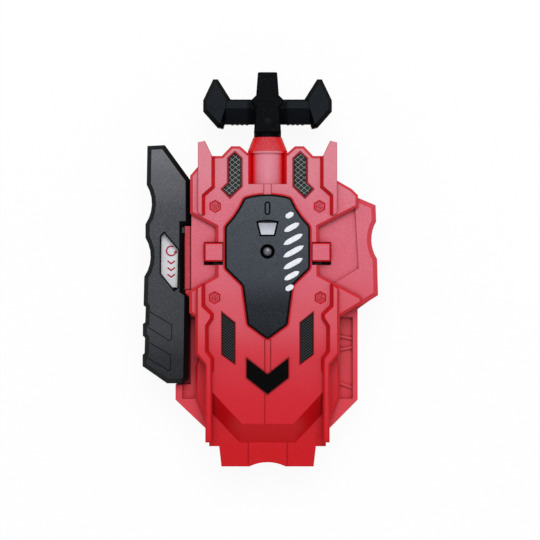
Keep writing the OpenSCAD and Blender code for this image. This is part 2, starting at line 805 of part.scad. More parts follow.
module case_screws() {
    color(metal) for (s = screw_shares) {
        low = s[1] < -0.4 ? 0 : head_room;
        difference() {
            union() {
                post(place(s), screw_head_r, low + 2 * wall - screw_r, low + 2 * wall);
                post(place(s), screw_r, low + 2 * wall, part_z + screw_bite - fit_gap);
            }
            cross_slot(place(s), low + 2 * wall - screw_r);
        }
    }
}

module cross_slot(at, z) {
    for (turn = [0, 90]) {
        translate([at[0], at[1], z]) rotate([0, 0, turn])
            cube([screw_head_r, screw_r * 0.35, screw_r], center = true);
    }
}

module lower_bush() {
    color([0.78, 0.66, 0.38]) difference() {
        union() {
            translate([0, 0, head_room]) cylinder(h = wall, r = bush_r);
            translate([0, 0, floor_z]) cylinder(h = end_gap, r = bush_r);
        }
        translate([0, 0, head_room - cut]) cylinder(h = wall + end_gap + 2 * cut, r = spindle_r + run_gap);
    }
}

module upper_bush() {
    color([0.78, 0.66, 0.38]) translate([0, 0, deck_under]) difference() {
        cylinder(h = wall, r = bush_r);
        translate([0, 0, -cut]) cylinder(h = wall + 2 * cut, r = tip_r + run_gap);
    }
}

tip_r = spindle_r * 0.6;
arbor_r = spindle_r + 1.2 * wall;
arbor_foot = arbor_r + wall;

module spring_arbor() {
    color(metal) difference() {
        union() {
            post([0, 0], arbor_foot, floor_z + end_gap, shoulder_z);
            post([0, 0], arbor_r, floor_z + end_gap, web_z + flange_t);
            post([0, 0], arbor_foot + wall, floor_z, floor_z + wall);
        }
        translate([0, 0, floor_z - cut]) cylinder(h = end_gap + cut, r = bush_r);
        translate([0, 0, floor_z - cut]) cylinder(h = spring_h * 3 + cut, r = spindle_r + 4 * run_gap);
    }
}

// Mainspring: a band wound in a steady spiral from the arbor to near the reel's skirt
skirt_r = drum_r - drum_wall * 0.8;
spring_low = floor_z + wall + fit_gap;
function spiral(r0, r1, turns, steps) =
    [for (i = [0 : steps]) let (t = i / steps, a = 360 * turns * t) (r0 + (r1 - r0) * t) * [cos(a), sin(a)]];

module mainspring() {
    steps = 24 * spring_turns;
    inner = spiral(arbor_foot + run_gap, skirt_r - 2 * spring_t - end_gap, spring_turns, steps);
    outer = spiral(arbor_foot + run_gap + spring_t, skirt_r - spring_t - end_gap, spring_turns, steps);
    color(metal) slab(concat(outer, [for (i = [steps : -1 : 0]) inner[i]]), spring_low, shoulder_z);
}

// Involute outline: half the tooth angle at radius r, from its width at the pitch circle
function spread(r, base) = let (a = acos(min(1, base / r))) tan(a) - a * PI / 180;
function tooth_half(r, teeth, width) =
    let (pitch = gear_m * teeth / 2, base = pitch * cos(pressure))
    (width / (2 * pitch) + spread(pitch, base) - spread(r, base)) * 180 / PI;
function gear_outline(teeth, width, low, high, steps) = [
    for (i = [0 : teeth - 1])
        for (k = [0 : 2 * steps + 1])
            let (
                up = k <= steps,
                r = low + (high - low) * (up ? k : 2 * steps + 1 - k) / steps,
                half = tooth_half(max(r, gear_m * teeth / 2 * cos(pressure)), teeth, width),
                a = 360 * i / teeth + (up ? -half : half)
            )
            r * [cos(a), sin(a)]
];
tooth_w = PI * gear_m / 2;

module outer_gear(bore) {
    low = sun_pitch - root_share * gear_m;
    high = sun_pitch + tip_share * gear_m;
    difference() {
        translate([0, 0, gear_z]) linear_extrude(gear_w)
            polygon(gear_outline(sun_teeth, tooth_w - backlash, low, high, 4));
        translate([0, 0, gear_z - cut]) cylinder(h = gear_w + 2 * cut, r = bore);
    }
}

// Planets stand a third of a turn apart, each turned so that its teeth meet sun and ring
module planet(i) {
    color([0.90, 0.90, 0.86]) rotate([0, 0, 120 * i]) translate([planet_reach, 0, 0])
        outer_gear(pin_r + run_gap);
}

module planet_gear_1() {
    planet(0);
}

module planet_gear_2() {
    planet(1);
}

module planet_gear_3() {
    planet(2);
}

module sun_gear() {
    color([0.90, 0.90, 0.86]) outer_gear(spindle_r);
}

module planet_carrier() {
    rim = flange_r - end_gap;
    color(plate_grey) difference() {
        translate([0, 0, carrier_z]) cylinder(h = carrier_t, r = rim);
        translate([0, 0, carrier_z - cut]) cylinder(h = carrier_t + 2 * cut, r = spindle_r + run_gap);
        for (i = [0 : 2]) {
            rotate([0, 0, 120 * i]) {
                translate([planet_reach, 0, carrier_z - cut]) cylinder(h = carrier_t + 2 * cut, r = pin_r);
                rotate([0, 0, 60]) translate([planet_reach, 0, carrier_z - cut])
                    cylinder(h = carrier_t + 2 * cut, r = sun_pitch * 0.7);
            }
        }
        for (m = [0, 1]) mirror([m, 0, 0]) {
            box(
                [-rim - cut, lock_y - lock_w / 2 - fit_gap / 2, carrier_z - cut],
                [-rim + 3 * wall / 2, lock_y + lock_w / 2 + fit_gap / 2, carrier_z + carrier_t + cut]
            );
        }
    }
}

module planet_pins() {
    color(metal) for (i = [0 : 2]) {
        rotate([0, 0, 120 * i]) translate([planet_reach, 0, gear_z])
            cylinder(h = carrier_z + carrier_t - gear_z, r = pin_r);
    }
}

module spindle() {
    dome_z = cover_z - tip_r * 0.3;
    color(metal) {
        translate([0, 0, seat_z]) cylinder(h = deck_under - end_gap - seat_z, r = spindle_r);
        translate([0, 0, seat_z]) cylinder(h = dome_z - seat_z, r = tip_r);
        intersection() {
            translate([0, 0, dome_z - tip_r]) sphere(r = tip_r * 1.35);
            translate([0, 0, dome_z - root]) cylinder(h = tip_r, r = tip_r);
        }
    }
}

// Launch head: a cup with the hub that the top sits on
module launch_head() {
    color(black) difference() {
        union() {
            difference() {
                translate([0, 0, wall]) cylinder(h = head_room - end_gap - wall, r = head_r);
                translate([0, 0, wall - cut]) cylinder(h = hub_h - wall + cut, r = head_r - wall);
            }
            cylinder(h = hub_h + cut, r = hub_r);
        }
        translate([0, 0, seat_z]) cylinder(h = head_room, r = spindle_r);
        prong_seats(fit_gap / 2, hub_h - cut);
    }
}

module prong_seats(gap, low) {
    for (i = [0 : prong_count - 1]) rotate([0, 0, 90 + 360 * i / prong_count]) {
        box(
            [hub_r + 2.2 * wall - gap, -1.5 * wall - gap, low],
            [hub_r + 3.1 * wall + gap, 1.5 * wall + gap, head_room]
        );
    }
}

module launch_prongs() {
    color(metal) for (i = [0 : prong_count - 1]) rotate([0, 0, 90 + 360 * i / prong_count]) {
        box([hub_r + 2.2 * wall, -1.5 * wall, 0], [hub_r + 3.1 * wall, 1.5 * wall, head_room - end_gap]);
        box([hub_r + 2.2 * wall, wall / 2, 0], [hub_r + 3.1 * wall, 2.5 * wall, wall * 0.8]);
    }
}

// Reel: spring skirt below the web, ring gear and winding above it
module string_reel() {
    color([0.20, 0.20, 0.22]) difference() {
        union() {
            translate([0, 0, floor_z + wall]) cylinder(h = reel_top - floor_z - wall, r = drum_r);
            translate([0, 0, web_z]) cylinder(h = flange_t, r = flange_r);
            translate([0, 0, reel_top - flange_t]) cylinder(h = flange_t, r = flange_r);
        }
        translate([0, 0, floor_z]) cylinder(h = web_z - floor_z, r = skirt_r);
        translate([0, 0, floor_z]) cylinder(h = reel_top, r = arbor_r + run_gap);
        translate([0, 0, web_z + flange_t]) linear_extrude(reel_top) polygon(gear_outline(
            ring_teeth, tooth_w + backlash, ring_pitch - tip_share * gear_m,
            ring_pitch + root_share * gear_m, 4
        ));
    }
}

winding_low = web_z + flange_t;
winding_high = reel_top - flange_t;

module string_winding() {
    color(white) difference() {
        translate([0, 0, winding_low]) cylinder(h = winding_high - winding_low, r = drum_r + string_d);
        translate([0, 0, winding_low - cut]) cylinder(h = winding_high - winding_low + 2 * cut, r = drum_r);
    }
}

// String from the stem through the eyelet to where it meets the winding: one tube in the plane of the
// neck's axis, with eight sides and a mitred ring at each point of its route
function tube_ring(p, i, r) =
    let (
        a = unit(i == 0 ? p[1] - p[0] : p[i] - p[i - 1]),
        b = i == len(p) - 1 ? a : unit(p[i + 1] - p[i]),
        d = unit(a + b),
        side = r / (d * a) * [-d[1], d[0]]
    )
    [for (k = [0 : 7]) let (q = p[i] + cos(45 * k) * side) [q[0], q[1], axis_z + r * sin(45 * k)]];

module tube(route, r) {
    last = len(route) - 1;
    sides = [for (i = [0 : last - 1]) for (k = [0 : 7])
        [8 * i + k, 8 * i + 8 + k, 8 * i + 8 + (k + 1) % 8, 8 * i + (k + 1) % 8]];
    low = [for (k = [0 : 7]) k];
    high = [for (k = [7 : -1 : 0]) 8 * last + k];
    polyhedron([for (i = [0 : last]) for (q = tube_ring(route, i, r)) q], concat([low], sides, [high]));
}

module pull_string() {
    wound_r = drum_r + 1.5 * string_d;
    way = acos(wound_r / eyelet_y);
    bend = [0, eyelet_y];
    touch = wound_r * [-sin(way), cos(way)];
    above = bend + [0, eyelet_drop];
    below = bend + eyelet_drop * unit(touch - bend);
    color(white) tube(
        [[0, stem_end + wall], above, bend / 2 + (above + below) / 4, below, touch],
        string_d / 2
    );
}

module selector_panel() {
    inner = inset(panel_outline, panel_bevel);
    color(black) difference() {
        union() {
            difference() {
                slab(panel_outline, panel_low, panel_top);
                edge_bevel(panel_outline, back_low, panel_low, panel_foot);
                edge_bevel(panel_outline, panel_top - panel_bevel * 1.2, panel_top, panel_bevel);
                slab(inner, back_high, panel_top - panel_skin);
                slab(inset(inner, -fit_gap), panel_low - cut, back_high);
            }
            for (s = panel_screw_shares) {
                post(panel_place(s), panel_screw_r + 0.6 * wall, back_high, panel_top - panel_skin / 2);
            }
        }
        for (s = panel_screw_shares) {
            post(panel_place(s), panel_screw_r, back_high - cut, panel_top - panel_skin + fit_gap);
        }
        slab(panel_places(window_shares), panel_top - panel_skin - cut, panel_top + cut);
        translate(bevel_shift) layered(panel_places(window_shares), [
            [panel_top - 2 * window_edge, window_edge], [panel_top + window_edge, -2 * window_edge]
        ]);
        box(
            [-half_w - 0.5 * panel_w, arm_low - fit_gap, part_z - fit_gap],
            [cut - half_w, arm_high + fit_gap, arm_z + card_t + fit_gap]
        );
        lock_bar(tongue_in + cut, half_w, 0);
        for (list = [plate_one_shares, plate_two_shares]) {
            difference() {
                slab(inset(panel_places(list), -groove_w / 2), panel_top - groove_w, panel_top + cut);
                slab(inset(panel_places(list), groove_w / 2), panel_top - cut, panel_top + 2 * cut);
            }
        }
    }
}

module selector_back() {
    color(black) difference() {
        slab(inset(panel_outline, panel_bevel + fit_gap / 2), back_low, back_high - fit_gap / 2);
        for (s = panel_screw_shares) {
            post(panel_place(s), panel_head_r + fit_gap, back_low - cut, back_low + panel_head_t);
            post(panel_place(s), panel_screw_r + run_gap, back_low - cut, back_high + cut);
        }
    }
}

// Tongue that keeps the planet carrier from turning
tongue_in = panel_side + panel_bevel;

module selector_tongue() {
    tip = flange_r * cos(asin(lock_y / flange_r)) - wall / 2;
    color(black) {
        lock_bar(tongue_in + root, tip, 0);
        box(
            [-tongue_in - wall, lock_y - lock_w, lock_z],
            [-tongue_in, lock_y + lock_w, panel_top - panel_skin]
        );
    }
}

module panel_screws() {
    color(metal) for (s = panel_screw_shares) {
        post(panel_place(s), panel_head_r, back_low, back_low + panel_head_t);
        post(panel_place(s), panel_screw_r, back_low, panel_top - panel_skin);
    }
}

module direction_card() {
    color(white) box(
        [-arm_end, arm_low, arm_z], [-half_w - card_shares[0] * panel_w, arm_high, arm_z + card_t]
    );
}

module second_card() {
    color(white) box(
        [-half_w - card_shares[1] * panel_w, arm_low, back_high - fit_gap / 2],
        [-tongue_in - fit_gap, arm_high, back_high + card_t]
    );
}

// Pull handle, in shares of its own half width and length from its foot
handle_y = mouth_y + fit_gap;
function grip_place(s) = [s[0] * handle_half, handle_y + s[1] * handle_len];
function grip_places(list) = [for (s = list) grip_place(s)];
wing_shares = [
    [0.69, 0.13], [0.78, 0.15], [1, 0.4], [1, 0.57], [0.845, 0.9], [0.77, 0.9], [0.57, 0.58], [0.6, 0.42]
];
bar_shares = [
    [-0.21, 0.055], [0.21, 0.055], [0.185, 0.45], [0.243, 0.52], [0.243, 0.575], [0.176, 0.64],
    [0.15, 0.985], [0.135, 1], [-0.135, 1], [-0.15, 0.985], [-0.176, 0.64], [-0.243, 0.575],
    [-0.243, 0.52], [-0.185, 0.45]
];
// Cross-bar: places along the pull, with half thicknesses as parts of its own
section_shares = [[0.58, 0.8], [0.55, 1], [0.44, 1], [0.2, 0.35]];
cross_share = 0.72;
rib_span_shares = [0.19, 0.4];
wing_t = handle_t * 0.86;
cross_t = handle_t * 0.8;
bar_bevel = 0.6;
wing_slope = 1.6;
cap_r = 1.7;
cap_depth = 1;
pin_share = 0.25;
pin_y = handle_y + pin_share * handle_len;
core_r = 0.7 * stem_r;
core_share = 0.48;
core_end = handle_y + core_share * handle_len;
stem_pin_r = 0.8 * screw_r;

module pull_handle() {
    back_z = axis_z - handle_t / 2;
    front_z = axis_z + handle_t / 2;
    rib_low = handle_y + rib_span_shares[0] * handle_len;
    rib_high = handle_y + rib_span_shares[1] * handle_len;
    rib_half = 0.16 * wing_t;
    color(black) difference() {
        union() {
            layered(grip_places(bar_shares), [
                [back_z, bar_bevel], [back_z + bar_bevel, 0], [front_z - bar_bevel, 0], [front_z, bar_bevel]
            ]);
            post_y(0, axis_z, mouth_r - end_gap, handle_y, handle_y + 0.1 * handle_len);
            cross_bar();
            mirrored_x() {
                layered(grip_places(wing_shares), [
                    [axis_z - wing_t / 2, wing_slope], [axis_z - wing_t / 4, 0], [axis_z + wing_t / 4, 0],
                    [axis_z + wing_t / 2, wing_slope]
                ]);
                for (k = [0 : 3]) {
                    x = (0.3 + 0.075 * k) * handle_half;
                    box(
                        [x, rib_low, axis_z - rib_half],
                        [x + 0.04 * handle_half, rib_high, axis_z + rib_half]
                    );
                }
            }
        }
        post([0, pin_y], cap_r, front_z - cap_depth, front_z + cut);
        post_y(0, axis_z, core_r, handle_y - cut, core_end);
        post([0, pin_y], stem_pin_r, back_z - cut, axis_z + core_r + root);
    }
}

module cross_bar() {
    half = [for (s = section_shares) [handle_y + s[0] * handle_len, s[1] * cross_t / 2]];
    section = concat(half, [for (i = [3 : -1 : 0]) [half[i][0], -half[i][1]]]);
    translate([-cross_share * handle_half, 0, axis_z]) rotate([90, 0, 90])
        linear_extrude(2 * cross_share * handle_half) polygon(section);
}

module handle_stem() {
    color(black) difference() {
        union() {
            post_y(0, axis_z, stem_r, stem_end, handle_y);
            post_y(0, axis_z, core_r, stem_end, core_end);
        }
        post([0, pin_y], stem_pin_r, axis_z - stem_r, axis_z + stem_r);
        post_y(0, axis_z, string_d * 0.6, stem_end - cut, stem_end + 2 * wall);
    }
}

module handle_cap() {
    low = axis_z + handle_t / 2 - cap_depth;
    color(black) post([0, pin_y], cap_r - fit_gap / 2, low, low + cap_depth / 2);
}

module stem_pin() {
    color(metal) post([0, pin_y], stem_pin_r, axis_z - handle_t / 2 + bar_bevel, axis_z + core_r + root);
}

front_cover();
mid_frame();
back_cover();
neck_barrel();
string_eyelet();
center_plate();
window_lens();
upper_pad_left();
upper_pad_right();
lower_pad_left();
lower_pad_right();
chevron_inlay();
plate_clip_left();
plate_clip_right();
case_screws();
lower_bush();
upper_bush();
spring_arbor();
mainspring();
planet_carrier();
planet_pins();
planet_gear_1();
planet_gear_2();
planet_gear_3();
sun_gear();
spindle();
launch_head();
launch_prongs();
string_reel();
string_winding();
pull_string();
selector_panel();
selector_back();
selector_tongue();
panel_screws();
direction_card();
second_card();
pull_handle();
handle_stem();
handle_cap();
stem_pin();
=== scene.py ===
import bmesh
import bpy
import numpy as np
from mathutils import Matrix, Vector
from mathutils.geometry import tessellate_polygon


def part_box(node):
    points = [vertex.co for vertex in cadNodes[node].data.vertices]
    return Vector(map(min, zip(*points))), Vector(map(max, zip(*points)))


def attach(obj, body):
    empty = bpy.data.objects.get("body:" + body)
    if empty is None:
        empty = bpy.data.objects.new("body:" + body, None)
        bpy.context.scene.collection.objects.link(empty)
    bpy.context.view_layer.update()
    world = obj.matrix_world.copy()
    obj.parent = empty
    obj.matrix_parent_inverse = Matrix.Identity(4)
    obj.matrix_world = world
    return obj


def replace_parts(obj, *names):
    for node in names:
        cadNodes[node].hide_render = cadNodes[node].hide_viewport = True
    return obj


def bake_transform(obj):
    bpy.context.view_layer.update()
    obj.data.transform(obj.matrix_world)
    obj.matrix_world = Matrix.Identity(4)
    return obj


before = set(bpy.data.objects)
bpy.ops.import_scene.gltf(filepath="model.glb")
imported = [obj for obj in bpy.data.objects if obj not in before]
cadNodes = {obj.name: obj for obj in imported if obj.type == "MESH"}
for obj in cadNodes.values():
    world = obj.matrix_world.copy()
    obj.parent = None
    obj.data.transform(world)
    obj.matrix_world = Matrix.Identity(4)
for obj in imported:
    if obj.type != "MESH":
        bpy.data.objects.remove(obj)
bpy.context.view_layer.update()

print("frame loaded:", len(cadNodes), "nodes")


def feedNode(node, values):
    # values: a socket's name or number, with a plain value or the socket that feeds it
    for key, value in values.items():
        if isinstance(value, bpy.types.NodeSocket):
            node.id_data.links.new(value, node.inputs[key])
        else:
            node.inputs[key].default_value = value
    return node


def addNode(tree, kind, values=None, **settings):
    node = tree.nodes.new("ShaderNode" + kind)
    for setting, value in settings.items():
        setattr(node, setting, value)
    return feedNode(node, values or {})


def useGroup(tree, group, **values):
    return addNode(tree, "Group", values, node_tree=group).outputs


def calc(operation, a, b=0.0, c=0.0, clamp=False):
    # a or b is a socket, and the node goes into its tree
    tree = (a if isinstance(a, bpy.types.NodeSocket) else b).id_data
    values = {0: a, 1: b, 2: c}
    return addNode(tree, "Math", values, operation=operation, use_clamp=clamp).outputs[0]


def plus(a, b, **more):
    return calc("ADD", a, b, **more)


def minus(a, b, **more):
    return calc("SUBTRACT", a, b, **more)


def times(a, b, **more):
    return calc("MULTIPLY", a, b, **more)


def noiseOf(vector, scale, detail):
    values = {"Vector": vector, "Scale": scale, "Detail": detail}
    return addNode(vector.id_data, "TexNoise", values).outputs[0]


def placeOf(vector):
    return addNode(vector.id_data, "SeparateXYZ", {0: vector}).outputs


def ramp(value, fromLow, fromHigh, toLow=0.0, toHigh=1.0, way="SMOOTHSTEP"):
    # a step between two ends, smooth or straight
    return addNode(value.id_data, "MapRange", {
        "Value": value, "From Min": fromLow, "From Max": fromHigh, "To Min": toLow, "To Max": toHigh
    }, interpolation_type=way).outputs[0]


def blend(share, *both):
    # each colour is a socket or a screen colour
    a, b = [tone(*colour) if isinstance(colour, tuple) else colour for colour in both]
    return addNode(share.id_data, "Mix", {0: share, 6: a, 7: b}, data_type="RGBA").outputs[2]


def bumped(height, strength, distance, **more):
    values = {"Height": height, "Strength": strength, "Distance": distance, **more}
    return addNode(height.id_data, "Bump", values).outputs[0]


def tone(red, green, blue):
    # screen colour from 0 to 255 turned into the linear one that nodes use
    c = np.array([red, green, blue]) / 255
    linear = np.where(c <= 0.04045, c / 12.92, ((c + 0.055) / 1.055) ** 2.4)
    return (*[float(x) for x in linear], 1.0)


def alongStops(along, stops):
    # colours at set places along the launcher, in mm from tail to neck
    places = np.array(sorted(stops)) / 1000
    node = addNode(along.id_data, "ValToRGB", {0: ramp(along, places[0], places[-1], way="LINEAR")})
    elements = node.color_ramp.elements
    node.color_ramp.interpolation = "EASE"
    shares = (places - places[0]) / (places[-1] - places[0])
    for at in shares[1:-1]:
        elements.new(float(at))
    for i, key in enumerate(sorted(stops)):
        elements[i].color = tone(*stops[key])
    return node.outputs[0]


def newGroup(name, inputs, outputs):
    # an input without a default is a vector, and so is a Normal that is put out
    tree = bpy.data.node_groups.new(name, "ShaderNodeTree")
    add = tree.interface.new_socket
    for label, value in inputs.items():
        kind = "Vector" if value is None else "Float"
        socket = add(name=label, in_out="INPUT", socket_type="NodeSocket" + kind)
        if value is not None:
            socket.default_value = value
    for label in outputs:
        kind = "Vector" if label == "Normal" else "Float"
        add(name=label, in_out="OUTPUT", socket_type="NodeSocket" + kind)
    given, put = tree.nodes.new("NodeGroupInput"), tree.nodes.new("NodeGroupOutput")
    return tree, given.outputs, put


def buildSparkle():
    # random cells of a fine cell pattern, each with a round dot in its middle
    dot = dict(rim=0.5, full=0.1)
    tree, given, put = newGroup("fineSparkle", dict(Vector=None, Size=0.0006, Share=0.2), ["Mask"])
    scale = calc("DIVIDE", 1.0, given["Size"])
    cells = addNode(tree, "TexVoronoi", {"Vector": given["Vector"], "Scale": scale}).outputs
    lot = addNode(tree, "SeparateColor", {0: cells["Color"]}).outputs[0]
    chosen = calc("LESS_THAN", lot, given["Share"])
    spot = ramp(cells["Distance"], dot["rim"], dot["full"])
    feedNode(put, {"Mask": times(chosen, spot)})
    return tree


def buildMottle():
    # cloudy noise of two sizes, from -1 to 1
    cloud = dict(finer=7.0, wideDetail=2.0, fineDetail=3.0)
    tree, given, put = newGroup("softMottle", dict(Vector=None, Size=0.01), ["Value"])
    scale = calc("DIVIDE", 1.0, given["Size"])
    wide = noiseOf(given["Vector"], scale, cloud["wideDetail"])
    finer = times(scale, cloud["finer"])
    both = plus(wide, noiseOf(given["Vector"], finer, cloud["fineDetail"]))
    feedNode(put, {"Value": minus(both, 1.0)})
    return tree


def buildGrain():
    # moulded grain: small flat bumps from a cell pattern, roughened by noise
    bumps = dict(cell=0.5, coarser=0.45, detail=4.0, low=0.3, high=0.7)
    tree, given, put = newGroup("mouldGrain", dict(Vector=None, Size=0.0003), ["Height", "Gloss"])
    scale = calc("DIVIDE", 1.0, given["Size"])
    cells = addNode(
        tree, "TexVoronoi", {"Vector": given["Vector"], "Scale": scale}, feature="SMOOTH_F1"
    ).outputs["Distance"]
    coarser = times(scale, bumps["coarser"])
    noise = noiseOf(given["Vector"], coarser, bumps["detail"])
    feedNode(put, {
        "Height": minus(noise, times(cells, bumps["cell"])),
        "Gloss": ramp(noise, bumps["low"], bumps["high"], -1.0, 1.0)
    })
    return tree


def buildEdgeFinder():
    # where the rounded normal leaves the flat one there is an edge; noise breaks up the painted
    # highlight laid on it
    rub = dict(scale=900.0, detail=4.0, low=0.35, high=0.65)
    tree, given, put = newGroup(
        "edgeFinder", dict(Vector=None, Radius=0.0004, Gain=4.0), ["Mask", "Normal"]
    )
    rounded = addNode(tree, "Bevel", {"Radius": given["Radius"]}, samples=6).outputs[0]
    flat = addNode(tree, "NewGeometry").outputs["Normal"]
    facing = addNode(tree, "VectorMath", {0: rounded, 1: flat}, operation="DOT_PRODUCT")
    off = times(minus(1.0, facing.outputs["Value"]), given["Gain"], clamp=True)
    noise = noiseOf(given["Vector"], rub["scale"], rub["detail"])
    mask = times(off, ramp(noise, rub["low"], rub["high"]))
    feedNode(put, {"Mask": mask, "Normal": rounded})
    return tree


def buildCrevice():
    # 1 in tight corners, seats and grooves, 0 on open faces
    corner = dict(open=0.85, tight=0.2)
    tree, given, put = newGroup("crevice", dict(Reach=0.0015), ["Mask"])
    openness = addNode(tree, "AmbientOcclusion", {"Distance": given["Reach"]}, samples=4)
    mask = ramp(openness.outputs["AO"], corner["open"], corner["tight"])
    feedNode(put, {"Mask": mask})
    return tree


def buildUpFacing():
    # 1 where the piece's own surface looks up the launcher, 0 on its slopes and sides
    tree, given, put = newGroup("upFacing", dict(Start=0.8, Full=0.995), ["Mask"])
    normal = addNode(tree, "NewGeometry").outputs["Normal"]
    own = addNode(
        tree, "VectorTransform", {0: normal}, vector_type="NORMAL", convert_from="WORLD",
        convert_to="OBJECT"
    ).outputs[0]
    up = placeOf(own)[2]
    feedNode(put, {"Mask": ramp(up, given["Start"], given["Full"])})
    return tree


def buildLattice():
    # two families of slanted lines, u = x / across + y / along and v = x / across - y / along,
    # with lines at the halves and rings round the whole numbers
    ringWidth = 0.55  # share of the ring's radius
    tree, given, put = newGroup(
        "diamondLattice", dict(Vector=None, Across=0.0025, Along=0.002, Line=0.1, Ring=0.0005),
        ["Lines", "Rings"]
    )
    place = placeOf(given["Vector"])
    a = calc("DIVIDE", place[0], given["Across"])
    b = calc("DIVIDE", place[1], given["Along"])
    offs, lines = [], []
    for operation in ("ADD", "SUBTRACT"):
        u = calc(operation, a, b)
        off = minus(u, calc("ROUND", u))
        offs.append(off)
        toLine = minus(0.5, calc("ABSOLUTE", off))
        lines.append(ramp(toLine, given["Line"], 0.0))
    dx = times(plus(*offs), given["Across"])
    dy = times(minus(*offs), given["Along"])
    square = plus(times(dx, dx), times(dy, dy))
    radius = times(calc("SQRT", square), 0.5)
    toRing = calc("ABSOLUTE", minus(radius, given["Ring"]))
    width = times(given["Ring"], ringWidth)
    feedNode(put, {"Lines": calc("MAXIMUM", *lines), "Rings": ramp(toRing, width, 0.0)})
    return tree


sparkle, mottle, grain = buildSparkle(), buildMottle(), buildGrain()
edgeFinder, upFacing = buildEdgeFinder(), buildUpFacing()
lattice, crevice = buildLattice(), buildCrevice()
print("shared effects built")


def newMaterial(name, **sockets):
    material = bpy.data.materials.new(name)
    material.use_nodes = True
    tree = material.node_tree
    shader = tree.nodes["Principled BSDF"]
    for socketName, value in sockets.items():
        shader.inputs[socketName.replace("_", " ")].default_value = value
    return material, tree, shader, addNode(tree, "TexCoord").outputs["Object"]


def mouldedPlastic(name, shell, **changes):
    # upper colour from tail to neck with a painted sheen, darker sides as painted shade, clouds,
    # sparkle, painted highlights on edges, painted shade in corners, and grain
    every = dict(pitShift=(0.013, 0.007, 0.003), pitSize=1.4, softShadeReach=2.5, edgeGloss=0.12,
                 bumpShare=0.5, tail=(-0.062, -0.03))
    look = {**shell, **changes}
    material, tree, shader, own = newMaterial(name, Specular_IOR_Level=look["specular"])
    place = placeOf(own)
    clouds = useGroup(tree, mottle, Vector=own, Size=look["cloudSize"])["Value"]
    up = useGroup(tree, upFacing, Start=look["upStart"], Full=look["upFull"])["Mask"]
    # the stops hold the plastic's colour plus a painted sheen that grows towards the neck
    top = alongStops(place[1], look["stops"])
    if look["across"]:
        # another colour further out, on the left alone or on both sides: painted shade on the mid
        # frame's arm strip, painted light on the handle's tilted wings
        begin, end, outer = look["across"]
        out = times(place[0], -1.0) if begin < 0 else calc("ABSOLUTE", place[0])
        top = blend(ramp(out, abs(begin), abs(end)), top, outer)
    # upper faces take the stops and their painted sheen; slopes and walls take the side colour, the
    # plain colour darkened as painted shade
    colour = blend(up, look["side"], top)
    brightness = calc("MULTIPLY_ADD", clouds, look["cloud"], 1.0)
    colour = addNode(tree, "VectorMath", {0: colour, 3: brightness}, operation="SCALE").outputs[0]
    # sparkle and pits show on the upper faces, and less towards the tail
    lively = times(up, ramp(place[1], *look["dotFade"], look["dotTail"], 1.0))
    shifted = addNode(tree, "Mapping", {0: own, 1: every["pitShift"]}).outputs[0]
    for vector, size, strength, paint in (
        (own, 1.0, "dot", "dotColour"), (shifted, every["pitSize"], "pit", "side")
    ):
        mask = useGroup(
            tree, sparkle, Vector=vector, Size=look["dotSize"] * size, Share=look["dotShare"]
        )["Mask"]
        mask = times(mask, times(lively, look[strength]))
        colour = blend(mask, colour, look[paint])
    # the lighter colour along the edges is a painted highlight
    edge = useGroup(tree, edgeFinder, Vector=own, Radius=look["edge"], Gain=look["edgeGain"])
    colour = blend(times(edge["Mask"], look["wear"]), colour, look["wearColour"])
    # painted shade: a soft deeper tone near inner corners, then a narrow dark one in them,
    # faint at the tail
    glow = useGroup(tree, crevice, Reach=look["reach"] * every["softShadeReach"])["Mask"]
    colour = blend(times(glow, look["glow"]), colour, look["softShadeColour"])
    shade = useGroup(tree, crevice, Reach=look["reach"])["Mask"]
    atTail = ramp(place[1], *every["tail"], look["tailShade"], 1.0)
    colour = blend(times(times(shade, atTail), look["shade"]), colour, look["corner"])
    skin = useGroup(tree, grain, Vector=own, Size=look["grainSize"])
    rough = calc("MULTIPLY_ADD", skin["Gloss"], look["roughSpread"], look["rough"])
    polished = times(edge["Mask"], every["edgeGloss"])
    distance = look["grainSize"] * every["bumpShare"]
    feedNode(shader, {
        "Base Color": colour, "Roughness": minus(rough, polished, clamp=True),
        "Normal": bumped(skin["Height"], look["grain"], distance, Normal=edge["Normal"])
    })
    return material


# stops: colours along the launcher in mm, with a painted sheen towards the neck; side: the colour
# of slopes and walls, darker as painted shade; highlight: a painted edge highlight; glow and
# shade: painted shade in corners
redShell = dict(
    stops={-82: (194, 12, 24), -62: (198, 28, 42), -44: (198, 45, 58), -26: (204, 79, 92),
           -6: (206, 94, 111), 14: (205, 100, 117), 34: (206, 120, 134)},
    side=(192, 14, 22), across=None, upStart=0.7, upFull=0.995, specular=0.14,
    cloudSize=0.006, cloud=0.06,
    dotSize=0.00042, dotShare=0.3, dot=0.26, dotColour=(255, 206, 212), pit=0.22,
    dotFade=(-0.04, 0.02), dotTail=0.12,
    edge=0.00035, edgeGain=3.0, wear=0.16, wearColour=(230, 110, 122),
    reach=0.0018, shade=0.85, tailShade=0.35, corner=(110, 4, 10),
    glow=0.6, softShadeColour=(196, 30, 44),
    grainSize=0.0004, grain=0.18, rough=0.42, roughSpread=0.06
)
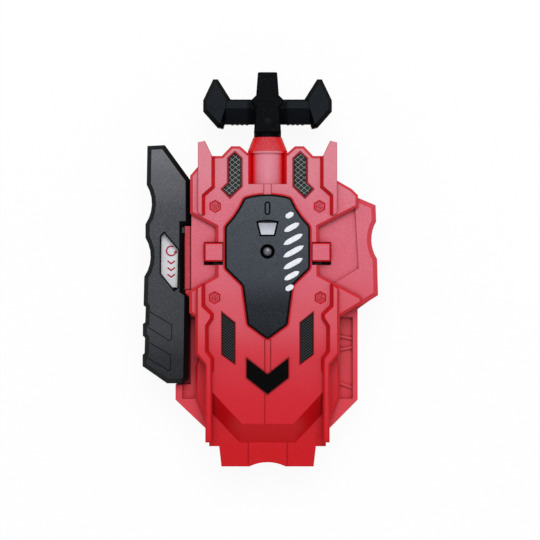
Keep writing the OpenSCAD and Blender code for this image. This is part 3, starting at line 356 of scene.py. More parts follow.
# the black finishes too: a painted sheen, lighter towards the neck, and sides in painted shade
blackShell = dict(
    stops={-60: (26, 27, 31), -46: (36, 37, 42), -30: (56, 59, 63), -6: (60, 63, 68),
           14: (66, 68, 75), 28: (88, 89, 94), 40: (104, 105, 110)},
    side=(11, 13, 15), across=None, upStart=0.8, upFull=0.995, specular=0.1,
    cloudSize=0.005, cloud=0.12,
    dotSize=0.00042, dotShare=0.4, dot=0.24, dotColour=(165, 167, 172), pit=0.5,
    dotFade=(-0.06, 0.03), dotTail=0.35,
    edge=0.0003, edgeGain=3.0, wear=0.12, wearColour=(96, 98, 104),
    reach=0.0012, shade=0.7, tailShade=1.0, corner=(3, 3, 4),
    glow=0.2, softShadeColour=(14, 15, 17),
    grainSize=0.0004, grain=0.35, rough=0.5, roughSpread=0.07
)
caseRed = mouldedPlastic("caseRed", redShell)
# the darker colour further out on the left, on the arm strip, is painted shade
midRed = mouldedPlastic("midRed", redShell, across=(-0.0305, -0.0312, (176, 52, 66)))
# the neck's pink crown is a painted highlight, and its bright red sides are painted light
neckRed = mouldedPlastic(
    "neckRed", redShell, side=(228, 12, 16), upStart=0.55, upFull=0.86, shade=0.2, glow=0.2,
    stops={30: (208, 128, 144), 40: (208, 128, 144), 40.6: (196, 58, 68), 50: (192, 38, 48)}
)
backRed = mouldedPlastic(
    "backRed", redShell, stops={-70: (212, 66, 78), 30: (216, 96, 108)}, side=(190, 10, 14),
    dot=0.2, dotColour=(235, 150, 160)
)
# the dark red of the rims round the pads is painted shade
frameRed = mouldedPlastic(
    "frameRed", redShell, stops={-70: (122, 6, 14), 40: (138, 20, 32)}, side=(110, 5, 10),
    dot=0.05, wear=0.05
)
rimRed = mouldedPlastic(
    "rimRed", redShell, stops={-70: (196, 16, 26), 40: (202, 24, 38)}, side=(196, 14, 24),
    dot=0.08, wear=0.05, shade=0.3
)
# the ledges' bright red, with little corner shade, is painted light over the narrow gaps' shade
ledgeRed = mouldedPlastic(
    "ledgeRed", redShell, stops={20: (232, 26, 40), 42: (236, 30, 44)}, side=(240, 24, 38),
    shade=0.2, glow=0.1
)
panelBlack = mouldedPlastic("panelBlack", blackShell)
# the plate's lighter upper end is a painted sheen, and its near-black sides are painted shade
plateGrey = mouldedPlastic(
    "plateGrey", blackShell, side=(5, 6, 8), dot=0.16,
    stops={-38: (18, 22, 27), -24: (26, 31, 37), -8: (58, 63, 70), 8: (62, 67, 74),
           22: (68, 73, 80)}
)
# the lighter tone on the outer wings is painted light from their tilt
handleBlack = mouldedPlastic(
    "handleBlack", blackShell, stops={40: (4, 6, 8), 50: (5, 7, 9), 70: (7, 10, 13)},
    side=(5, 6, 8), across=(0.007, 0.009, (26, 30, 34)), specular=0.02, dot=0.03, pit=0.2,
    grain=0.2, wear=0.3, wearColour=(92, 96, 100), rough=0.46
)
capBlack = mouldedPlastic(
    "capBlack", blackShell, stops={40: (9, 11, 14), 70: (11, 13, 16)}, side=(2, 2, 3),
    specular=0.05, dot=0.03, pit=0.2, grain=0.2
)
inlayBlack = mouldedPlastic(
    "inlayBlack", blackShell, stops={-60: (5, 5, 6), 50: (6, 6, 8)}, side=(3, 3, 4),
    specular=0.02, dot=0.03, pit=0.2, grain=0.15
)
domeGrey = mouldedPlastic(
    "domeGrey", blackShell, stops={-20: (96, 95, 104), 20: (98, 97, 106)}, side=(70, 70, 78),
    specular=0.6, upStart=0.2, dot=0.0, pit=0.0, wear=0.05, wearColour=(120, 120, 128),
    grain=0.05, rough=0.24, roughSpread=0.03, shade=0.3
)
reelGrey = mouldedPlastic(
    "reelGrey", blackShell, stops={-20: (62, 62, 66), 20: (66, 66, 70)}, side=(50, 50, 55),
    dot=0.05, pit=0.1
)
gearWhite = mouldedPlastic(
    "gearWhite", blackShell, stops={-20: (228, 226, 214), 20: (230, 228, 217)},
    side=(214, 210, 196), specular=0.5, corner=(120, 112, 92), glow=0, dot=0.04,
    dotColour=(245, 243, 235), pit=0.08, cloud=0.03, wear=0.25, wearColour=(246, 244, 236),
    rough=0.4, grain=0.12
)


def latticePad(name, **look):
    # a moulded diamond net with sunk rings; the pad's sides are plain and take the darker low
    # colour as painted shade
    every = dict(cloudSize=0.003, cloud=0.3, upStart=0.9, grainSize=0.0003, grain=0.25,
                 edge=0.0003, edgeGain=3.0, bump=0.6, rough=0.58, roughSpread=0.08)
    material, tree, shader, own = newMaterial(name, Specular_IOR_Level=0.1)
    net = useGroup(
        tree, lattice, Vector=addNode(tree, "Mapping", {0: own, 1: look["shift"]}).outputs[0],
        Across=look["across"], Along=look["along"], Line=look["line"], Ring=look["ring"]
    )
    clouds = useGroup(tree, mottle, Vector=own, Size=every["cloudSize"])["Value"]
    clouds = ramp(clouds, -every["cloud"], every["cloud"])
    colour = blend(clouds, look["low"], look["floor"])
    colour = blend(net["Lines"], colour, look["lines"])
    colour = blend(net["Rings"], colour, look["rings"])
    up = useGroup(tree, upFacing, Start=every["upStart"])["Mask"]
    skin = useGroup(tree, grain, Vector=own, Size=every["grainSize"])
    relief = minus(net["Lines"], net["Rings"])
    height = plus(relief, times(skin["Height"], every["grain"]))
    edge = useGroup(tree, edgeFinder, Vector=own, Radius=every["edge"], Gain=every["edgeGain"])
    feedNode(shader, {
        "Base Color": blend(up, look["low"], colour),
        "Roughness": calc("MULTIPLY_ADD", skin["Gloss"], every["roughSpread"], every["rough"]),
        "Normal": bumped(height, every["bump"], look["relief"], Normal=edge["Normal"])
    })
    return material


gripPad = latticePad(
    "gripPad", across=0.0025, along=0.00205, line=0.09, ring=0.00044, relief=0.0002,
    shift=(0.0003, 0.0002, 0), low=(44, 49, 48), floor=(66, 72, 70), lines=(150, 158, 156),
    rings=(2, 3, 3)
)
finePad = latticePad(
    "finePad", across=0.0014, along=0.0011, line=0.16, ring=0.00026, relief=0.0001,
    shift=(0, 0, 0), low=(5, 6, 7), floor=(12, 13, 14), lines=(66, 69, 71), rings=(1, 2, 2)
)


def brushedMetal(name, **look):
    # fine scratches: noise drawn out along the launcher, with darker spots
    every = dict(scale=400.0, detail=6.0, cloudSize=0.002, low=0.2, high=0.8, radius=0.0002,
                 edgeGain=3.0, wear=0.5, bump=0.15, depth=0.0001)
    material, tree, shader, own = newMaterial(name, Metallic=1.0)
    drawn = addNode(tree, "Mapping", {0: own, 3: look["draw"]}).outputs[0]
    scratch = noiseOf(drawn, every["scale"], every["detail"])
    clouds = useGroup(tree, mottle, Vector=own, Size=every["cloudSize"])["Value"]
    share = ramp(plus(scratch, clouds), every["low"], every["high"])
    colour = blend(share, look["dark"], look["bright"])
    edge = useGroup(tree, edgeFinder, Vector=own, Radius=every["radius"], Gain=every["edgeGain"])
    # the lighter edge colour is a painted highlight
    highlighted = times(edge["Mask"], every["wear"])
    feedNode(shader, {
        "Base Color": blend(highlighted, colour, look["edge"]),
        "Roughness": ramp(scratch, every["low"], every["high"], look["smooth"], look["rough"]),
        "Normal": bumped(scratch, every["bump"], every["depth"], Normal=edge["Normal"])
    })
    return material


turnedSteel = brushedMetal(
    "turnedSteel", draw=(1, 1, 1), dark=(150, 153, 158), bright=(176, 178, 182),
    edge=(235, 236, 238), smooth=0.24, rough=0.3
)
zincSteel = brushedMetal(
    "zincSteel", draw=(1, 0.15, 1), dark=(150, 152, 156), bright=(205, 207, 210),
    edge=(235, 236, 238), smooth=0.25, rough=0.42
)
springSteel = brushedMetal(
    "springSteel", draw=(0.2, 0.2, 1), dark=(92, 96, 104), bright=(150, 154, 160),
    edge=(200, 203, 208), smooth=0.2, rough=0.35
)
sinteredBrass = brushedMetal(
    "sinteredBrass", draw=(1, 1, 1), dark=(150, 116, 62), bright=(206, 168, 104),
    edge=(232, 200, 140), smooth=0.35, rough=0.55
)


def printedCard(name, paper, shade):
    # pale stock with faint fibres
    fibres = dict(draw=(1, 0.25, 1), scale=1800.0, detail=5.0, cloudSize=0.004, cloud=0.5,
                  low=0.2, high=0.8, smooth=0.5, rough=0.7, bump=0.2, depth=0.00005)
    material, tree, shader, own = newMaterial(name, Specular_IOR_Level=0.3)
    drawn = addNode(tree, "Mapping", {0: own, 3: fibres["draw"]}).outputs[0]
    fibre = noiseOf(drawn, fibres["scale"], fibres["detail"])
    clouds = useGroup(tree, mottle, Vector=own, Size=fibres["cloudSize"])["Value"]
    mixed = plus(times(clouds, fibres["cloud"]), fibre)
    low, high = fibres["low"], fibres["high"]
    feedNode(shader, {
        "Base Color": blend(ramp(mixed, low, high), shade, paper),
        "Roughness": ramp(fibre, low, high, fibres["smooth"], fibres["rough"]),
        "Normal": bumped(fibre, fibres["bump"], fibres["depth"])
    })
    return material


cardStock = printedCard("cardStock", (224, 224, 228), (206, 206, 212))
printRed = printedCard("printRed", (176, 44, 70), (150, 34, 58))
printWhite = printedCard("printWhite", (232, 234, 240), (214, 216, 224))


def windowPlastic():
    # smoky clear plastic over a ridged floor that fans out from the eye, with a dark rim
    look = dict(pale=(206, 208, 216), deep=(158, 162, 174), dark=(10, 11, 13), ridges=40.0,
                ridge=0.12, deepFrom=0.0062, deepTo=0.0118, cloudSize=0.002, cloud=0.5,
                smooth=0.12, rough=0.26, rim=0.0003, rimSharp=0.7, lowShare=0.68,
                bump=0.25, depth=0.0001)
    material, tree, shader, own = newMaterial(
        "windowPlastic", Specular_IOR_Level=0.5, Coat_Roughness=0.08
    )
    place = placeOf(own)
    angle = calc("ARCTAN2", place[0], place[1])
    ridge = calc("SINE", times(angle, look["ridges"] * 2 * np.pi))
    lift = ramp(place[1], look["deepFrom"], look["deepTo"])
    clouds = useGroup(tree, mottle, Vector=own, Size=look["cloudSize"])["Value"]
    uneven = times(plus(ridge, clouds), look["ridge"])
    share = plus(minus(1.0, lift), uneven, clamp=True)
    colour = blend(share, look["deep"], look["pale"])
    # the rim lies within a set distance of the low, high and slanted edges of the window
    low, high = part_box("window_lens")
    halfWidth = ramp(place[1], low.y, high.y, look["lowShare"] * high.x, high.x, way="LINEAR")
    toSide = minus(halfWidth, calc("ABSOLUTE", place[0]))
    toEnd = calc("MINIMUM", minus(place[1], low.y), minus(high.y, place[1]))
    rim = ramp(calc("MINIMUM", toSide, toEnd), look["rim"], look["rim"] * look["rimSharp"])
    feedNode(shader, {
        "Base Color": blend(rim, colour, look["dark"]),
        "Roughness": ramp(clouds, -look["cloud"], look["cloud"], look["smooth"], look["rough"]),
        "Normal": bumped(ridge, look["bump"], look["depth"])
    })
    return material


def braidedCord():
    # two crossing families of slanted strands, with painted shade in the hollows
    look = dict(strand=0.0009, pale=(232, 229, 220), hollowShade=(150, 146, 134), fuzz=9000.0,
                detail=3.0, dust=(0.1, 0.7, 0.6, 1.0), rough=(0.2, 0.8, 0.7, 0.95), bump=0.7,
                depth=0.0002)
    material, tree, shader, own = newMaterial(
        "braidedCord", Specular_IOR_Level=0.2, Sheen_Weight=0.3
    )
    place = placeOf(own)
    around = plus(place[0], place[2])
    strands = []
    for operation in ("ADD", "SUBTRACT"):
        slant = calc("DIVIDE", calc(operation, place[1], around), look["strand"])
        wave = calc("SINE", times(slant, np.pi))
        strands.append(calc("ABSOLUTE", wave))
    height = calc("MAXIMUM", *strands)
    fuzz = noiseOf(own, look["fuzz"], look["detail"])
    share = times(height, ramp(fuzz, *look["dust"]))
    feedNode(shader, {
        "Base Color": blend(share, look["hollowShade"], look["pale"]),
        "Roughness": ramp(fuzz, *look["rough"]),
        "Normal": bumped(height, look["bump"], look["depth"])
    })
    return material


lensClear, cordWhite = windowPlastic(), braidedCord()
finishes = {
    caseRed: ("front_cover", "plate_clip_left", "plate_clip_right"),
    midRed: ("mid_frame",),
    neckRed: ("neck_barrel",),
    backRed: ("back_cover",),
    plateGrey: ("center_plate",),
    gripPad: ("upper_pad_left", "upper_pad_right"),
    finePad: ("lower_pad_left", "lower_pad_right"),
    panelBlack: ("selector_panel", "selector_back", "selector_tongue"),
    handleBlack: ("pull_handle", "handle_stem", "launch_head"),
    capBlack: ("handle_cap",),
    inlayBlack: ("chevron_inlay", "upper_bush"),
    lensClear: ("window_lens",),
    cardStock: ("direction_card", "second_card"),
    gearWhite: ("planet_gear_1", "planet_gear_2", "planet_gear_3", "sun_gear"),
    reelGrey: ("planet_carrier", "string_reel"),
    zincSteel: (
        "string_eyelet", "case_screws", "spring_arbor", "planet_pins", "launch_prongs",
        "panel_screws", "stem_pin"
    ),
    turnedSteel: ("spindle",),
    springSteel: ("mainspring",),
    sinteredBrass: ("lower_bush",),
    cordWhite: ("string_winding", "pull_string"),
}
for finish, names in finishes.items():
    for name in names:
        cadNodes[name].data.materials.clear()
        cadNodes[name].data.materials.append(finish)
left = sorted(set(cadNodes) - {name for names in finishes.values() for name in names})
print("materials set, nodes without one:", left)

# the pieces below are worked out in mm, and written to their meshes in metres
sides = (("left", -1), ("right", 1))


def boxInMm(node):
    return [np.array(corner) * 1000 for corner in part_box(node)]


def linkObject(name, data):
    added = bpy.data.objects.new(name, data)
    bpy.context.scene.collection.objects.link(added)
    return added


def addPiece(name, points, faces, materials, faceMaterial=None, body="case"):
    mesh = bpy.data.meshes.new(name)
    mesh.from_pydata((np.asarray(points) / 1000).tolist(), [], faces)
    for material in materials:
        mesh.materials.append(material)
    if faceMaterial is not None:
        mesh.polygons.foreach_set("material_index", np.asarray(faceMaterial, dtype=np.int32))
    shape = bmesh.new()
    shape.from_mesh(mesh)
    bmesh.ops.recalc_face_normals(shape, faces=shape.faces)
    shape.to_mesh(mesh)
    shape.free()
    piece = linkObject(name, mesh)
    if body:
        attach(piece, body)
    return piece


def gridFaces(rows, columns, joinRows=False):
    # four-cornered faces between rings of points listed one after the other; joinRows closes the
    # last ring to the first one
    i, j = np.meshgrid(np.arange(rows - (not joinRows)), np.arange(columns), indexing="ij")
    up, on = (i + 1) % rows, (j + 1) % columns
    corners = [i * columns + j, i * columns + on, up * columns + on, up * columns + j]
    return np.stack(corners, axis=-1).reshape(-1, 4)


def addCapped(name, rings, materials, faceMaterial=None, body="case"):
    # rings of points joined one to the next, the first and the last one filled
    rows, columns = rings.shape[:2]
    faces = gridFaces(rows, columns).tolist()
    faces += [list(range(columns)), list(range((rows - 1) * columns, rows * columns))]
    return addPiece(name, rings.reshape(-1, 3), faces, materials, faceMaterial, body)


def sideSteps(points, closed=True):
    # at each point the step to the left that moves both edges that meet there by 1:
    # (left of the edge before + left of the edge after) / (1 + their dot product)
    edges = np.roll(points, -1, axis=0) - points if closed else np.diff(points, axis=0)
    edges = edges / np.linalg.norm(edges, axis=1)[:, None]
    if closed:
        before, after = np.roll(edges, 1, axis=0), edges
    else:
        before, after = np.vstack([edges[:1], edges]), np.vstack([edges, edges[-1:]])
    before, after = before[:, ::-1] * [-1, 1], after[:, ::-1] * [-1, 1]
    turn = 1 + (before * after).sum(axis=1)
    return (before + after) / np.maximum(turn, 0.3)[:, None]


def wholeTurn(segments):
    return np.linspace(0, 2 * np.pi, segments, endpoint=False)


def carrySection(section, path, closed=True):
    # each (step, height) point of the section, carried along: (path + step * left, height)
    steps = sideSteps(path, closed)
    return np.stack([
        np.column_stack([path + step * steps, np.full(len(path), height)])
        for step, height in section
    ])


def carryLoop(name, section, outline, materials):
    # a closed section carried round a closed outline
    rings = carrySection(section, outline)
    faces = gridFaces(*rings.shape[:2], joinRows=True).tolist()
    return addPiece(name, rings.reshape(-1, 3), faces, materials)


def roundCorners(points, reach, steps=5):
    # each corner gives way to a curve between two points at the same reach from it:
    # point = (1 - t)^2 * before + 2 t (1 - t) * corner + t^2 * after
    points = np.asarray(points, float)
    ends = []
    for shift in (1, -1):
        toNext = np.roll(points, shift, axis=0) - points
        length = np.linalg.norm(toNext, axis=1)[:, None]
        ends.append((points + toNext * np.minimum(reach / length, 0.45))[:, None])
    t = np.linspace(0, 1, steps)[None, :, None]
    curve = (1 - t) ** 2 * ends[0] + 2 * t * (1 - t) * points[:, None] + t ** 2 * ends[1]
    return curve.reshape(-1, 2)


def againstClock(points):
    x, y = points.T
    area = (x * np.roll(y, -1) - np.roll(x, -1) * y).sum()
    return points if area > 0 else points[::-1]


def steppedSolid(name, contours, materials):
    # a solid between a bottom and a top face: each contour is an outline, listed against the
    # clock, with (height, inset, material) levels; its ring at a level is outline + inset * left.
    # The first contour is the outer one, the others are holes from the top down, and a blind
    # one has a floor
    points, faces, faceMaterial, tops, bottoms = [], [], [], [], []
    start = 0
    for c, contour in enumerate(contours):
        outline, levels = contour["outline"], contour["levels"]
        n, m = len(outline), len(levels)
        rings = carrySection([(inset, height) for height, inset, finish in levels], outline)
        points.append(rings.reshape(-1, 3))
        faces += (gridFaces(m, n) + start).tolist()
        faceMaterial += np.repeat([finish for height, inset, finish in levels[1:]], n).tolist()
        first, last = start + np.arange(n), start + (m - 1) * n + np.arange(n)
        tops.append(last if c == 0 else first)
        if c == 0:
            bottoms.append(first)
        elif contour.get("blind"):
            faces.append(last.tolist())
            faceMaterial.append(0)
        else:
            bottoms.append(last)
        start += n * m
    points = np.concatenate(points)
    for loops in (tops, bottoms):
        order = np.concatenate(loops)
        corners = [[Vector(point) for point in points[loop]] for loop in loops]
        triangles = [order[list(triangle)].tolist() for triangle in tessellate_polygon(corners)]
        faces += triangles
        faceMaterial += [0] * len(triangles)
    return addPiece(name, points, faces, materials, faceMaterial)


def addLedge(name, outline, levels, material):
    # one outline stepped up through (height, inset) levels
    contour = dict(outline=againstClock(outline), levels=[(*level, 0) for level in levels])
    return steppedSolid(name, [contour], [material])


def mirroredOutline(half):
    # the left half, from its top down to the middle of its lower end, with its mirror image
    half = np.asarray(half, float)
    other = half[::-1] * [-1, 1]
    return np.concatenate([half, other[np.abs(other[:, 0]) > 1e-9]])


def fanOutline(plate):
    # the window: an arch x = half * t, y = side + rise * (1 - t^2) over a narrower straight foot
    (highX, highY), (lowX, lowY) = plate["fanHigh"], plate["fanLow"]
    t = np.linspace(1, -1, 9)
    arch = np.stack([highX * t, highY + plate["fanArch"] * (1 - t ** 2)], axis=1)
    return np.concatenate([arch, [(-lowX, lowY), (lowX, lowY)]])


def makePlate():
    # the dark plate with its arched top, the hole over the spindle, the fan window and the
    # engraved slot: outlines stepped down from the top, in (depth, inset, material) steps
    plate = dict(
        half=[(-9.3, 21.49), (-11.32, 17.40), (-13.64, 13.90), (-17.05, 9.99), (-17.05, -6.78),
              (-10.08, -13.63), (-8.06, -29.26), (0, -35.19)],
        arch=1.395, archFrom=0.09, archSteps=12, corner=0.9, cornerSteps=4,
        edge=[(1.0, 0, 0), (0.75, 0.06, 0), (0.18, 0.64, 0), (0.05, 0.8, 0), (0, 0.98, 0)],
        eye=2.6, eyeEdge=[(0, -0.34, 1), (0.06, -0.2, 1), (0.25, 0, 1)],
        fanHigh=(4.09, 11.77), fanLow=(2.79, 6.39), fanArch=0.5,
        fanEdge=[(0, -0.38, 1), (0.06, -0.28, 1), (0.3, 0, 1)],
        slotX=1.085, slotY=(15.73, 18.8),
        slotEdge=[(0, -0.12, 0), (0.12, 0, 1), (0.6, 0, 1), (0.6, 0.32, 1), (0.15, 0.37, 1),
                  (0.05, 0.47, 0)],
        rim=[(-0.02, 0.9), (-0.02, 1.46), (-0.7, 1.43), (-0.7, 0.9)]
    )
    low, high = boxInMm("center_plate")
    base, top = low[2], high[2]

    def down(steps):
        return [(top - depth, inset, finish) for depth, inset, finish in steps]

    # the straight stretch along the top gives way to y = top + arch * (1 - (x / half)^2)
    topX, topY = np.abs(plate["half"][0])
    across = np.linspace(topX - plate["corner"], plate["corner"] - topX, plate["archSteps"])[1:-1]
    rounded = roundCorners(mirroredOutline(plate["half"]), plate["corner"], plate["cornerSteps"])
    outline = np.concatenate([
        rounded[1:-1], np.stack([across, np.full(len(across), topY)], axis=1)
    ])
    arched = outline[:, 1] > topY - plate["archFrom"]
    outline[arched, 1] += plate["arch"] * (1 - (outline[arched, 0] / topX) ** 2)
    angle = wholeTurn(48)
    circle = plate["eye"] * np.stack([np.cos(angle), np.sin(angle)], axis=1)
    angle = np.linspace(0, np.pi, 13)
    bow = plate["slotX"] * np.stack([np.cos(angle), np.sin(angle)], axis=1)
    slotLow, slotHigh = plate["slotY"]
    slot = np.concatenate([bow + [0, slotHigh], [0, slotLow] - bow])
    fan = fanOutline(plate)
    face = steppedSolid("plate_face", [
        dict(outline=outline, levels=[(base, 0, 0)] + down(plate["edge"])),
        dict(outline=circle, levels=down(plate["eyeEdge"]) + [(base, 0, 1)]),
        dict(outline=fan, levels=down(plate["fanEdge"]) + [(base, 0, 1)]),
        dict(outline=slot, levels=down(plate["slotEdge"]), blind=True),
    ], [plateGrey, inlayBlack])
    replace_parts(face, "center_plate")
    rim = [(inset, base + rise) for inset, rise in plate["rim"]]
    carryLoop("plate_rim", rim, outline, [rimRed])
    makePane(fan)


def makePane(fan):
    # the clear pane in the fan window: its outline stepped up through (height, inset) levels
    pane = dict(gap=0.05, bevel=0.2, inset=0.3)
    low, high = boxInMm("window_lens")
    levels = [(low[2], pane["gap"]), (high[2] - pane["bevel"], pane["gap"]),
              (high[2], pane["inset"])]
    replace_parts(addLedge("window_pane", fan, levels, lensClear), "window_lens")


def makeHexSeats():
    # a six-sided funnel with a rough floor in each screw recess: on a grid of rings and angles the
    # radius runs from the hexagon to a circle, and seeded noise roughens the floor
    seat = dict(
        places=[(-20.93, 18.03), (20.83, 18.03), (-21.14, -18.48), (21.14, -18.48)],
        radius=2.58, under=0.06, round=0.93, rough=0.16, roughFrom=4, floorFrom=3, segments=48,
        seed=11,
        # share of the radius, depth, share of the hexagon
        rings=[(1.0, 1.18, 1), (1.0, 0.03, 1), (0.95, 0.02, 1), (0.78, 0.62, 1),
               (0.62, 0.72, 0.6), (0.45, 0.52, 0), (0.25, 0.34, 0), (0.1, 0.28, 0)]
    )
    top = boxInMm("upper_pad_left")[1][2] - seat["under"]
    rng = np.random.default_rng(seat["seed"])
    n, roughFrom = seat["segments"], seat["roughFrom"]
    angle = wholeTurn(n)
    sixth = np.pi / 6
    hexagon = np.cos(sixth) / np.cos((angle - sixth) % (2 * sixth) - sixth)
    share, depth, six = np.array(seat["rings"]).T[:, :, None]
    radius = seat["radius"] * share * (hexagon * six + (1 - six) * seat["round"])
    finish = np.repeat(np.arange(len(depth) - 1) >= seat["floorFrom"], n).astype(int).tolist()
    for k, (x, y) in enumerate(seat["places"]):
        z = np.repeat(top - depth, n, axis=1)
        z[roughFrom:] += seat["rough"] * (rng.random((len(z) - roughFrom, n)) - 0.5)
        rings = np.stack([x + radius * np.cos(angle), y + radius * np.sin(angle), z], axis=-1)
        addCapped(f"hex_seat_{k + 1}", rings, [rimRed, caseRed], finish + [0, 1])


def makeFairings():
    # a low stepped fairing on the back cover along the outer foot of each rail
    fairing = dict(outline=[(24.0, -41.5), (24.0, -69.0), (25.2, -69.0), (29.0, -58.9),
                            (29.0, -46.0), (28.0, -42.4)], under=0.6, over=1.6, bevel=0.7)
    top = boxInMm("back_cover")[1][2]
    low, high, bevel = top - fairing["under"], top + fairing["over"], fairing["bevel"]
    levels = [(low, 0), (high - bevel, 0), (high, bevel)]
    for side, way in sides:
        outline = np.array(fairing["outline"]) * [way, 1]
        addLedge(f"rail_fairing_{side}", outline, levels, caseRed)


def makeRims():
    # a thin black border inside each pad's edge and a dark red rim of painted shade outside it: a
    # section of (inset, height) points carried round the pad
    rim = dict(
        upper=[(13.08, 39.52), (15.56, 37.21), (15.56, 27.39), (17.98, 25.0), (15.0, 21.89),
               (10.6, 26.2), (10.6, 37.21)],
        lower=[(18.2, -24.41), (18.2, -41.12), (13.14, -44.81), (13.14, -28.49)],
        chevron=[(-8.31, -42.74), (-8.31, -50.44), (0, -56.98), (8.31, -50.44), (8.31, -42.74),
                 (0, -49.2)],
        chevronWidth=0.3, upperWidth=0.62, lowerWidth=0.34, black=0.25, over=0.03, under=0.4,
        slope=0.06
    )
    places = [("chevron_rim", "chevron", 1, "chevron_inlay")]
    for side, way in sides:
        for kind in ("upper", "lower"):
            places.append((f"{kind}_rim_{side}", kind, way, f"{kind}_pad_{side}"))
    for name, kind, way, node in places:
        outline = againstClock(np.array(rim[kind]) * [way, 1])
        top = boxInMm(node)[1][2]
        low, high = top - rim["under"], top + rim["over"]
        inner, outer = rim["black"], -rim[kind + "Width"]
        section = [(0, low), (0, high), (outer, high - rim["slope"]), (outer, low)]
        carryLoop(name, section, outline, [frameRed])
        section = [(inner, low), (inner, high), (0, high), (0, low)]
        carryLoop(name.replace("rim", "border"), section, outline, [inlayBlack])


def makeRailWalls():
    # the sloped inner walls of horns and rails: a three-sided section of (step to the left,
    # height) points carried along the foot of each
    wall = dict(
        horn=dict(foot=[(22.17, 38.0), (22.17, 25.97), (26.04, 22.56), (26.04, 14.6)],
                  top=33.2, width=1.15),
        rail=dict(foot=[(25.73, -13.2), (25.73, -21.8), (22.32, -25.1), (22.32, -26.7),
                        (24.34, -29.8), (24.34, -39.9), (22.17, -42.9), (22.17, -47.5)],
                  top=34.0, width=0.85),
        face=31.5, over=0.02, under=0.1, inside=0.08
    )
    face, inside = wall["face"], wall["inside"]
    for kind in ("horn", "rail"):
        section = [(inside, wall[kind]["top"]), (-wall[kind]["width"], face + wall["over"]),
                   (inside, face - wall["under"])]
        rings = carrySection(section, np.array(wall[kind]["foot"]), closed=False)
        for side, way in sides:
            addCapped(f"{kind}_wall_{side}", rings.transpose(1, 0, 2) * [way, 1, 1], [caseRed])


def makeSpineFeet():
    # the shaded foot of the short spine between the mouth's pocket and the plate
    foot = dict(x=(1.3, 1.62), y=(23.6, 26.9), low=31.3, high=31.54, inset=0.02)
    (x0, x1), (y0, y1) = foot["x"], foot["y"]
    levels = [(foot["low"], 0), (foot["high"], foot["inset"])]
    for side, way in sides:
        outline = np.array([(x0, y0), (x1, y0), (x1, y1), (x0, y1)]) * [way, 1]
        addLedge(f"spine_foot_{side}", outline, levels, rimRed)


def makeDome():
    # the spindle's smooth end: height = low + rise * sqrt(1 - (r / radius)^2) on a grid of
    # radius and angle, over a short straight foot
    dome = dict(radius=1.82, low=30.9, rise=0.85, foot=0.8, rings=14, segments=48,
                pole=0.02, flat=0.9999)
    share = np.sin(np.linspace(dome["pole"], np.pi / 2, dome["rings"]))[::-1]
    angle = wholeTurn(dome["segments"])
    r, a = np.meshgrid(share * dome["radius"], angle, indexing="ij")
    z = dome["low"] + dome["rise"] * np.sqrt(1 - (r / dome["radius"]) ** 2 * dome["flat"])
    rings = np.stack([r * np.cos(a), r * np.sin(a), z], axis=-1)
    rings = np.concatenate([rings[:1] - [0, 0, dome["foot"]], rings])
    addCapped("spindle_dome", rings, [domeGrey], body="launch_spindle")


def makeString():
    # the pull string: a circle of radius r carried along a path, point = path + r cos a * sideways
    # + r sin a * up. It leaves the wound reel, bends at the eyelet and runs straight to the handle
    string = dict(radius=0.5, straight=80, bend=10, touching=8, reach=1.2, lift=0.8, segments=12)
    low, high = boxInMm("pull_string")
    eyeLow, eyeHigh = boxInMm("string_eyelet")
    r, reach, middle = string["radius"], string["reach"], (low[2] + high[2]) / 2
    stem, eye = np.array([0, high[1]]), np.array([0, (eyeLow[1] + eyeHigh[1]) / 2])
    touch = np.array([low[0] + r, low[1] + string["lift"] * r])
    before, after = eye + [0, reach], eye + (touch - eye) / np.linalg.norm(touch - eye) * reach
    t = np.linspace(0, 1, string["straight"])[:, None]
    u = np.linspace(0, 1, string["bend"] + 2)[1:-1, None]
    v = np.linspace(0, 1, string["touching"])[:, None]
    path = np.concatenate([
        stem + (before - stem) * t, (1 - u) ** 2 * before + 2 * u * (1 - u) * eye + u ** 2 * after,
        after + (touch - after) * v
    ])
    ahead = np.gradient(path, axis=0)
    ahead /= np.linalg.norm(ahead, axis=1)[:, None]
    angle = wholeTurn(string["segments"])
    flat = r * np.cos(angle)[None, :]
    rings = np.stack([
        path[:, :1] + ahead[:, 1:] * flat, path[:, 1:] - ahead[:, :1] * flat,
        np.broadcast_to(middle + r * np.sin(angle), (len(path), len(angle)))
    ], axis=-1)
    piece = addCapped("drawn_string", rings, [cordWhite], body=None)
    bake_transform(piece)
    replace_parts(piece, "pull_string")


def makeArmHeel():
    # a short ledge that closes the gap under the arm strip's lower end
    heel = dict(x=(-33.1, -30.6), y=(-18.4, -14.9), z=(22.0, 28.3), cut=1.6, bevel=0.5)
    (x0, x1), (y0, y1), cut = heel["x"], heel["y"], heel["cut"]
    outline = np.array([(x0, y0 + cut), (x0 + cut, y0), (x1, y0), (x1, y1), (x0, y1)])
    (low, high), bevel = heel["z"], heel["bevel"]
    addLedge("arm_heel", outline, [(low, 0), (high - bevel, 0), (high, bevel)], midRed)


def makeMouthLedges():
    # red ledges that close the narrow gaps between the mouth and its pocket: a section of (x, z)
    # points carried straight along y
    ledge = dict(section=[(7.74, 31.3), (7.0, 27.0), (6.45, 24.35), (6.3, 23.5), (7.1, 22.1),
                          (7.74, 22.0)], y=(27.0, 40.1))
    x, z = np.array(ledge["section"]).T
    for side, way in sides:
        rings = np.stack([
            np.column_stack([x * way, np.full(len(x), y), z]) for y in ledge["y"]
        ])
        addCapped(f"mouth_ledge_{side}", rings, [ledgeRed])


makePlate()
makeHexSeats()
makeFairings()
makeRims()
makeRailWalls()
makeSpineFeet()
makeDome()
makeString()
makeArmHeel()
makeMouthLedges()
print("plate, window, seats, rims, string and ledges made")


